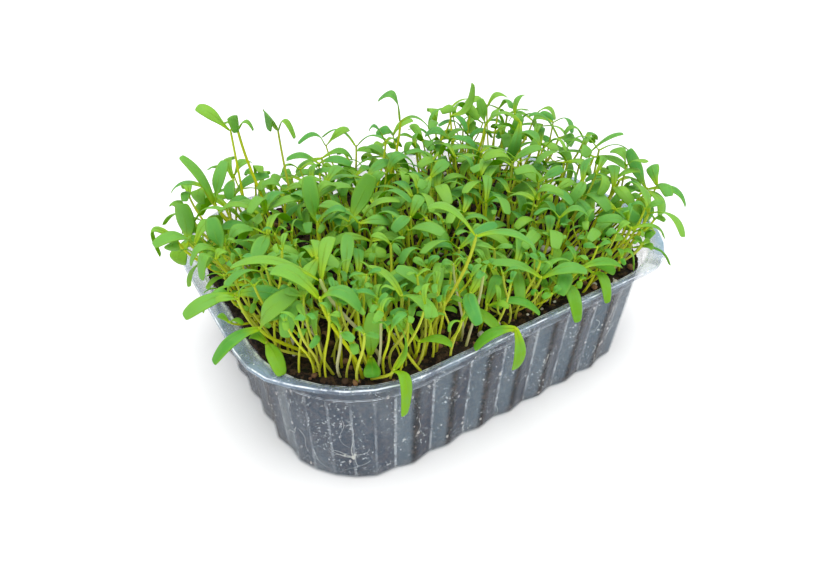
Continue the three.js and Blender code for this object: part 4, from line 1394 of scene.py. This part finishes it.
later_seedlings = sow_later(LATER_SEED, LATER_BATCHES, LATER, False)
threads = sow_later(THREAD_SEED, THREAD_BATCHES, THREAD, True)
print("later seedlings:", len(later_seedlings), "and thin ones:", len(threads))

# %% [markdown]
# ## Bending a seedling
# Along the leaf, the blank's width follows the blade's outline: a narrow neck, nearly parallel sides
# and a blunt tip. It is a little slimmer at the neck than the frame's plain blade, and half a millimetre
# thick. Across it, the blade droops at its edges, and its tip curls down. The rod follows the stem's
# curve and tapers upwards. The notes that the finishes read are written at the same time.

# %% Bend a leaf
BLADE_THICKNESS, NECK_THICKNESS = 0.5, 1.0
NECK_THINS_OVER = 0.3
ROWS_TOWARDS_TIP = 1.5
NECK_WIDTH = 0.32
BLUNT_FROM, BLUNT_OVER, BLUNTNESS = 0.52, 0.54, 3
TIP_CURL, CURLS_FROM = 2.2, 0.5
SAG = 0.45
EDGE_THINNING = 0.5
LEAF_OVERLAP = 0.7
LEAF, STEM = 0, 1


def blade_outline(part):
    """How wide a blade is along its length, as a share of its full width."""
    spread = NECK_WIDTH + (1 - NECK_WIDTH) * smooth_step(0.02, BLUNT_FROM, part)
    towards_tip = np.maximum(part - BLUNT_FROM, 0) / BLUNT_OVER
    return spread * np.sqrt(1 - towards_tip**BLUNTNESS)


def bend_leaf(bm, leaf, droop, tint_here):
    """A copy of the slab on a leaf's curve: it reaches into the stem a little at its neck."""
    blank = blank_places["leaf"]
    part = 1 - (1 - (blank[:, 0] + 1) / 2) ** ROWS_TOWARDS_TIP
    across = blank[:, 1]
    top, bottom = blank[:, 2].max(), blank[:, 2].min()
    below = (top - blank[:, 2]) / (top - bottom)
    middle, up, side = leaf_frame(leaf, part)
    middle = middle - np.cross(up, side) * (LEAF_OVERLAP * (part == 0))[:, None]
    half = leaf["width"] / 2 * blade_outline(part)
    neck = 1 - smooth_step(0, NECK_THINS_OVER, part)
    thickness = BLADE_THICKNESS + (NECK_THICKNESS - BLADE_THICKNESS) * neck
    curl = TIP_CURL * droop * (np.maximum(part - CURLS_FROM, 0) / (1 - CURLS_FROM)) ** 2
    sag = SAG * droop * half * across**2
    rise = -sag - below * thickness * (1 - EDGE_THINNING * across**2) - curl
    points = middle + side * (half * across)[:, None] + up * rise[:, None]
    growth = np.column_stack([part, np.abs(across), np.full_like(part, tint_here)])
    under_side = np.column_stack([below, below * 0, below * 0])
    add_copy(bm, "leaf", points, {"growth": growth, "under": under_side}, LEAF)


print("a fine blade's width at its neck, middle and tip:", blade_outline(np.array([0, 0.5, 1])).round(2))

# %% Bend a stem, and make a whole seedling
STEM_BASE_RADIUS, STEM_TOP_RADIUS = 0.78, 0.66
STEM_OVERLAP, OVERLAPS_LATE = 0.5, 8
WHITE_STEMS_ABOVE = 0.97
PALENESS = 0.25
STEM_GIRTHS = (0.85, 1.15)


def bend_stem(bm, plan, pale, tint_here, radius):
    """A copy of the rod on a stem's curve: its top reaches a little into the leaves."""
    blank = blank_places["stem"]
    part = (1 - np.cos(math.pi * (blank[:, 2] + 1) / 2)) / 2
    way = way_along(plan["stem"], part)
    forward = plan["leaves"][0]["ends"][1] - plan["apex"]
    first = unit(forward - way * dot(forward, way))
    second = np.cross(way, first)
    thick = radius * (STEM_BASE_RADIUS + (STEM_TOP_RADIUS - STEM_BASE_RADIUS) * part)[:, None]
    middle = curve_at(plan["stem"], part) + way * (STEM_OVERLAP * part**OVERLAPS_LATE)[:, None]
    points = middle + first * thick * blank[:, :1] + second * thick * blank[:, 1:2]
    growth = np.column_stack([part, np.full_like(part, pale), np.full_like(part, tint_here)])
    add_copy(bm, "stem", points, {"growth": growth}, STEM)


def add_seedling(bm, plan, draws, girth=1.0):
    """A stem and its two leaves, each with looks of its own by the draws."""
    pale = 1.0 if draws[0] > WHITE_STEMS_ABOVE else PALENESS * draws[0]
    bend_stem(bm, plan, pale, draws[1], girth * between(STEM_GIRTHS, draws[2]))
    for leaf, droop, tint_here in zip(plan["leaves"], draws[3:5], draws[5:7]):
        bend_leaf(bm, leaf, droop, tint_here)


print("stems:", 2 * STEM_BASE_RADIUS, "mm thick at the foot and", 2 * STEM_TOP_RADIUS, "mm at the top")

# %% [markdown]
# ## Growing them all
# Each tuft of the frame is replaced by its fine seedlings, joined in one mesh, so that a piece stays a
# thing one could lift out. The later seedlings have no plain ones to replace. They are joined in strips
# across the tray. One level of subdivision rounds the blades and stems of both.

# %% Grow the tufts
LOOK_SEED = 515
LOOK_DRAWS = 7


def grow(name, plans, seed, girth=1.0):
    """A piece with every seedling of a list of plans."""
    bm = new_mesh("growth", "under")
    looks = seeded_draws(seed, LOOK_DRAWS * len(plans)).reshape(-1, LOOK_DRAWS)
    for plan, draws in zip(plans, looks):
        add_seedling(bm, plan, draws, girth)
    piece = add_piece(bm, name, [leaf_paint, stem_paint])
    round_off(piece)
    return piece


seedling_faces = 0
for index, tuft in enumerate(tufts):
    tuft_name = f"tuft_{index + 1:02d}"
    grown = grow(tuft_name + "_seedlings", tuft, LOOK_SEED + index)
    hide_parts(tuft_name)
    seedling_faces += len(grown.data.polygons)
print("tufts:", seedling_faces, "faces before rounding")

# %% Grow the later seedlings, in strips across the tray
STRIPS = 6
LATER_LOOK_SEED = 2 * LOOK_SEED
LATER_GIRTH = 0.78

for strip in range(STRIPS):
    west, east = 2 * (CORNER[0] + RIM_RADIUS) * (np.array([strip, strip + 1]) / STRIPS - 0.5)
    own = [plan for plan in later_seedlings + threads if west <= plan["root"][0] < east]
    grown = grow(f"later_seedlings_{strip + 1}", own, LATER_LOOK_SEED + strip, LATER_GIRTH)
    print(grown.name, len(own), "seedlings,", len(grown.data.polygons), "faces")

# %% [markdown]
# ## The floor and the light
# The photo was taken on white under broad soft light, with hardly a shadow. A pale floor, a white sky
# and one soft sun do the same. The sun stands almost overhead, a little to the long wall's side, so that
# the wall is lit too.

# %% Floor, sky and sun
FLOOR_REACH = 3
FLOOR_WHITE = (0.93, 0.93, 0.93, 1)
SKY_WHITE, SKY_STRENGTH = (1, 1, 1, 1), 0.95
SUN_ENERGY, SUN_WIDTH = 1.9, math.radians(50)
TOWARDS_SUN = Vector((-0.02, -0.16, 1))


def make_floor():
    bm = bmesh.new()
    bmesh.ops.create_grid(bm, x_segments=1, y_segments=1, size=FLOOR_REACH)
    mesh = bpy.data.meshes.new("floor")
    bm.to_mesh(mesh)
    bm.free()
    floor_paint = Paint("floor", Roughness=0.7, Base_Color=FLOOR_WHITE, Specular_IOR_Level=0.1)
    mesh.materials.append(floor_paint.material)
    floor = bpy.data.objects.new("floor", mesh)
    bpy.context.scene.collection.objects.link(floor)


make_floor()
sky = bpy.data.worlds.new("sky")
bpy.context.scene.world = sky
sky.use_nodes = True
background = sky.node_tree.nodes["Background"]
background.inputs["Color"].default_value = SKY_WHITE
background.inputs["Strength"].default_value = SKY_STRENGTH
sun_data = bpy.data.lights.new("soft sun", "SUN")
sun_data.energy = SUN_ENERGY
sun_data.angle = SUN_WIDTH
sun = bpy.data.objects.new("soft sun", sun_data)
sun.rotation_euler = TOWARDS_SUN.to_track_quat("Z", "Y").to_euler()
bpy.context.scene.collection.objects.link(sun)
bpy.context.scene.view_settings.view_transform = "Standard"
print("sun:", sun_data.energy, "sky:", SKY_STRENGTH)
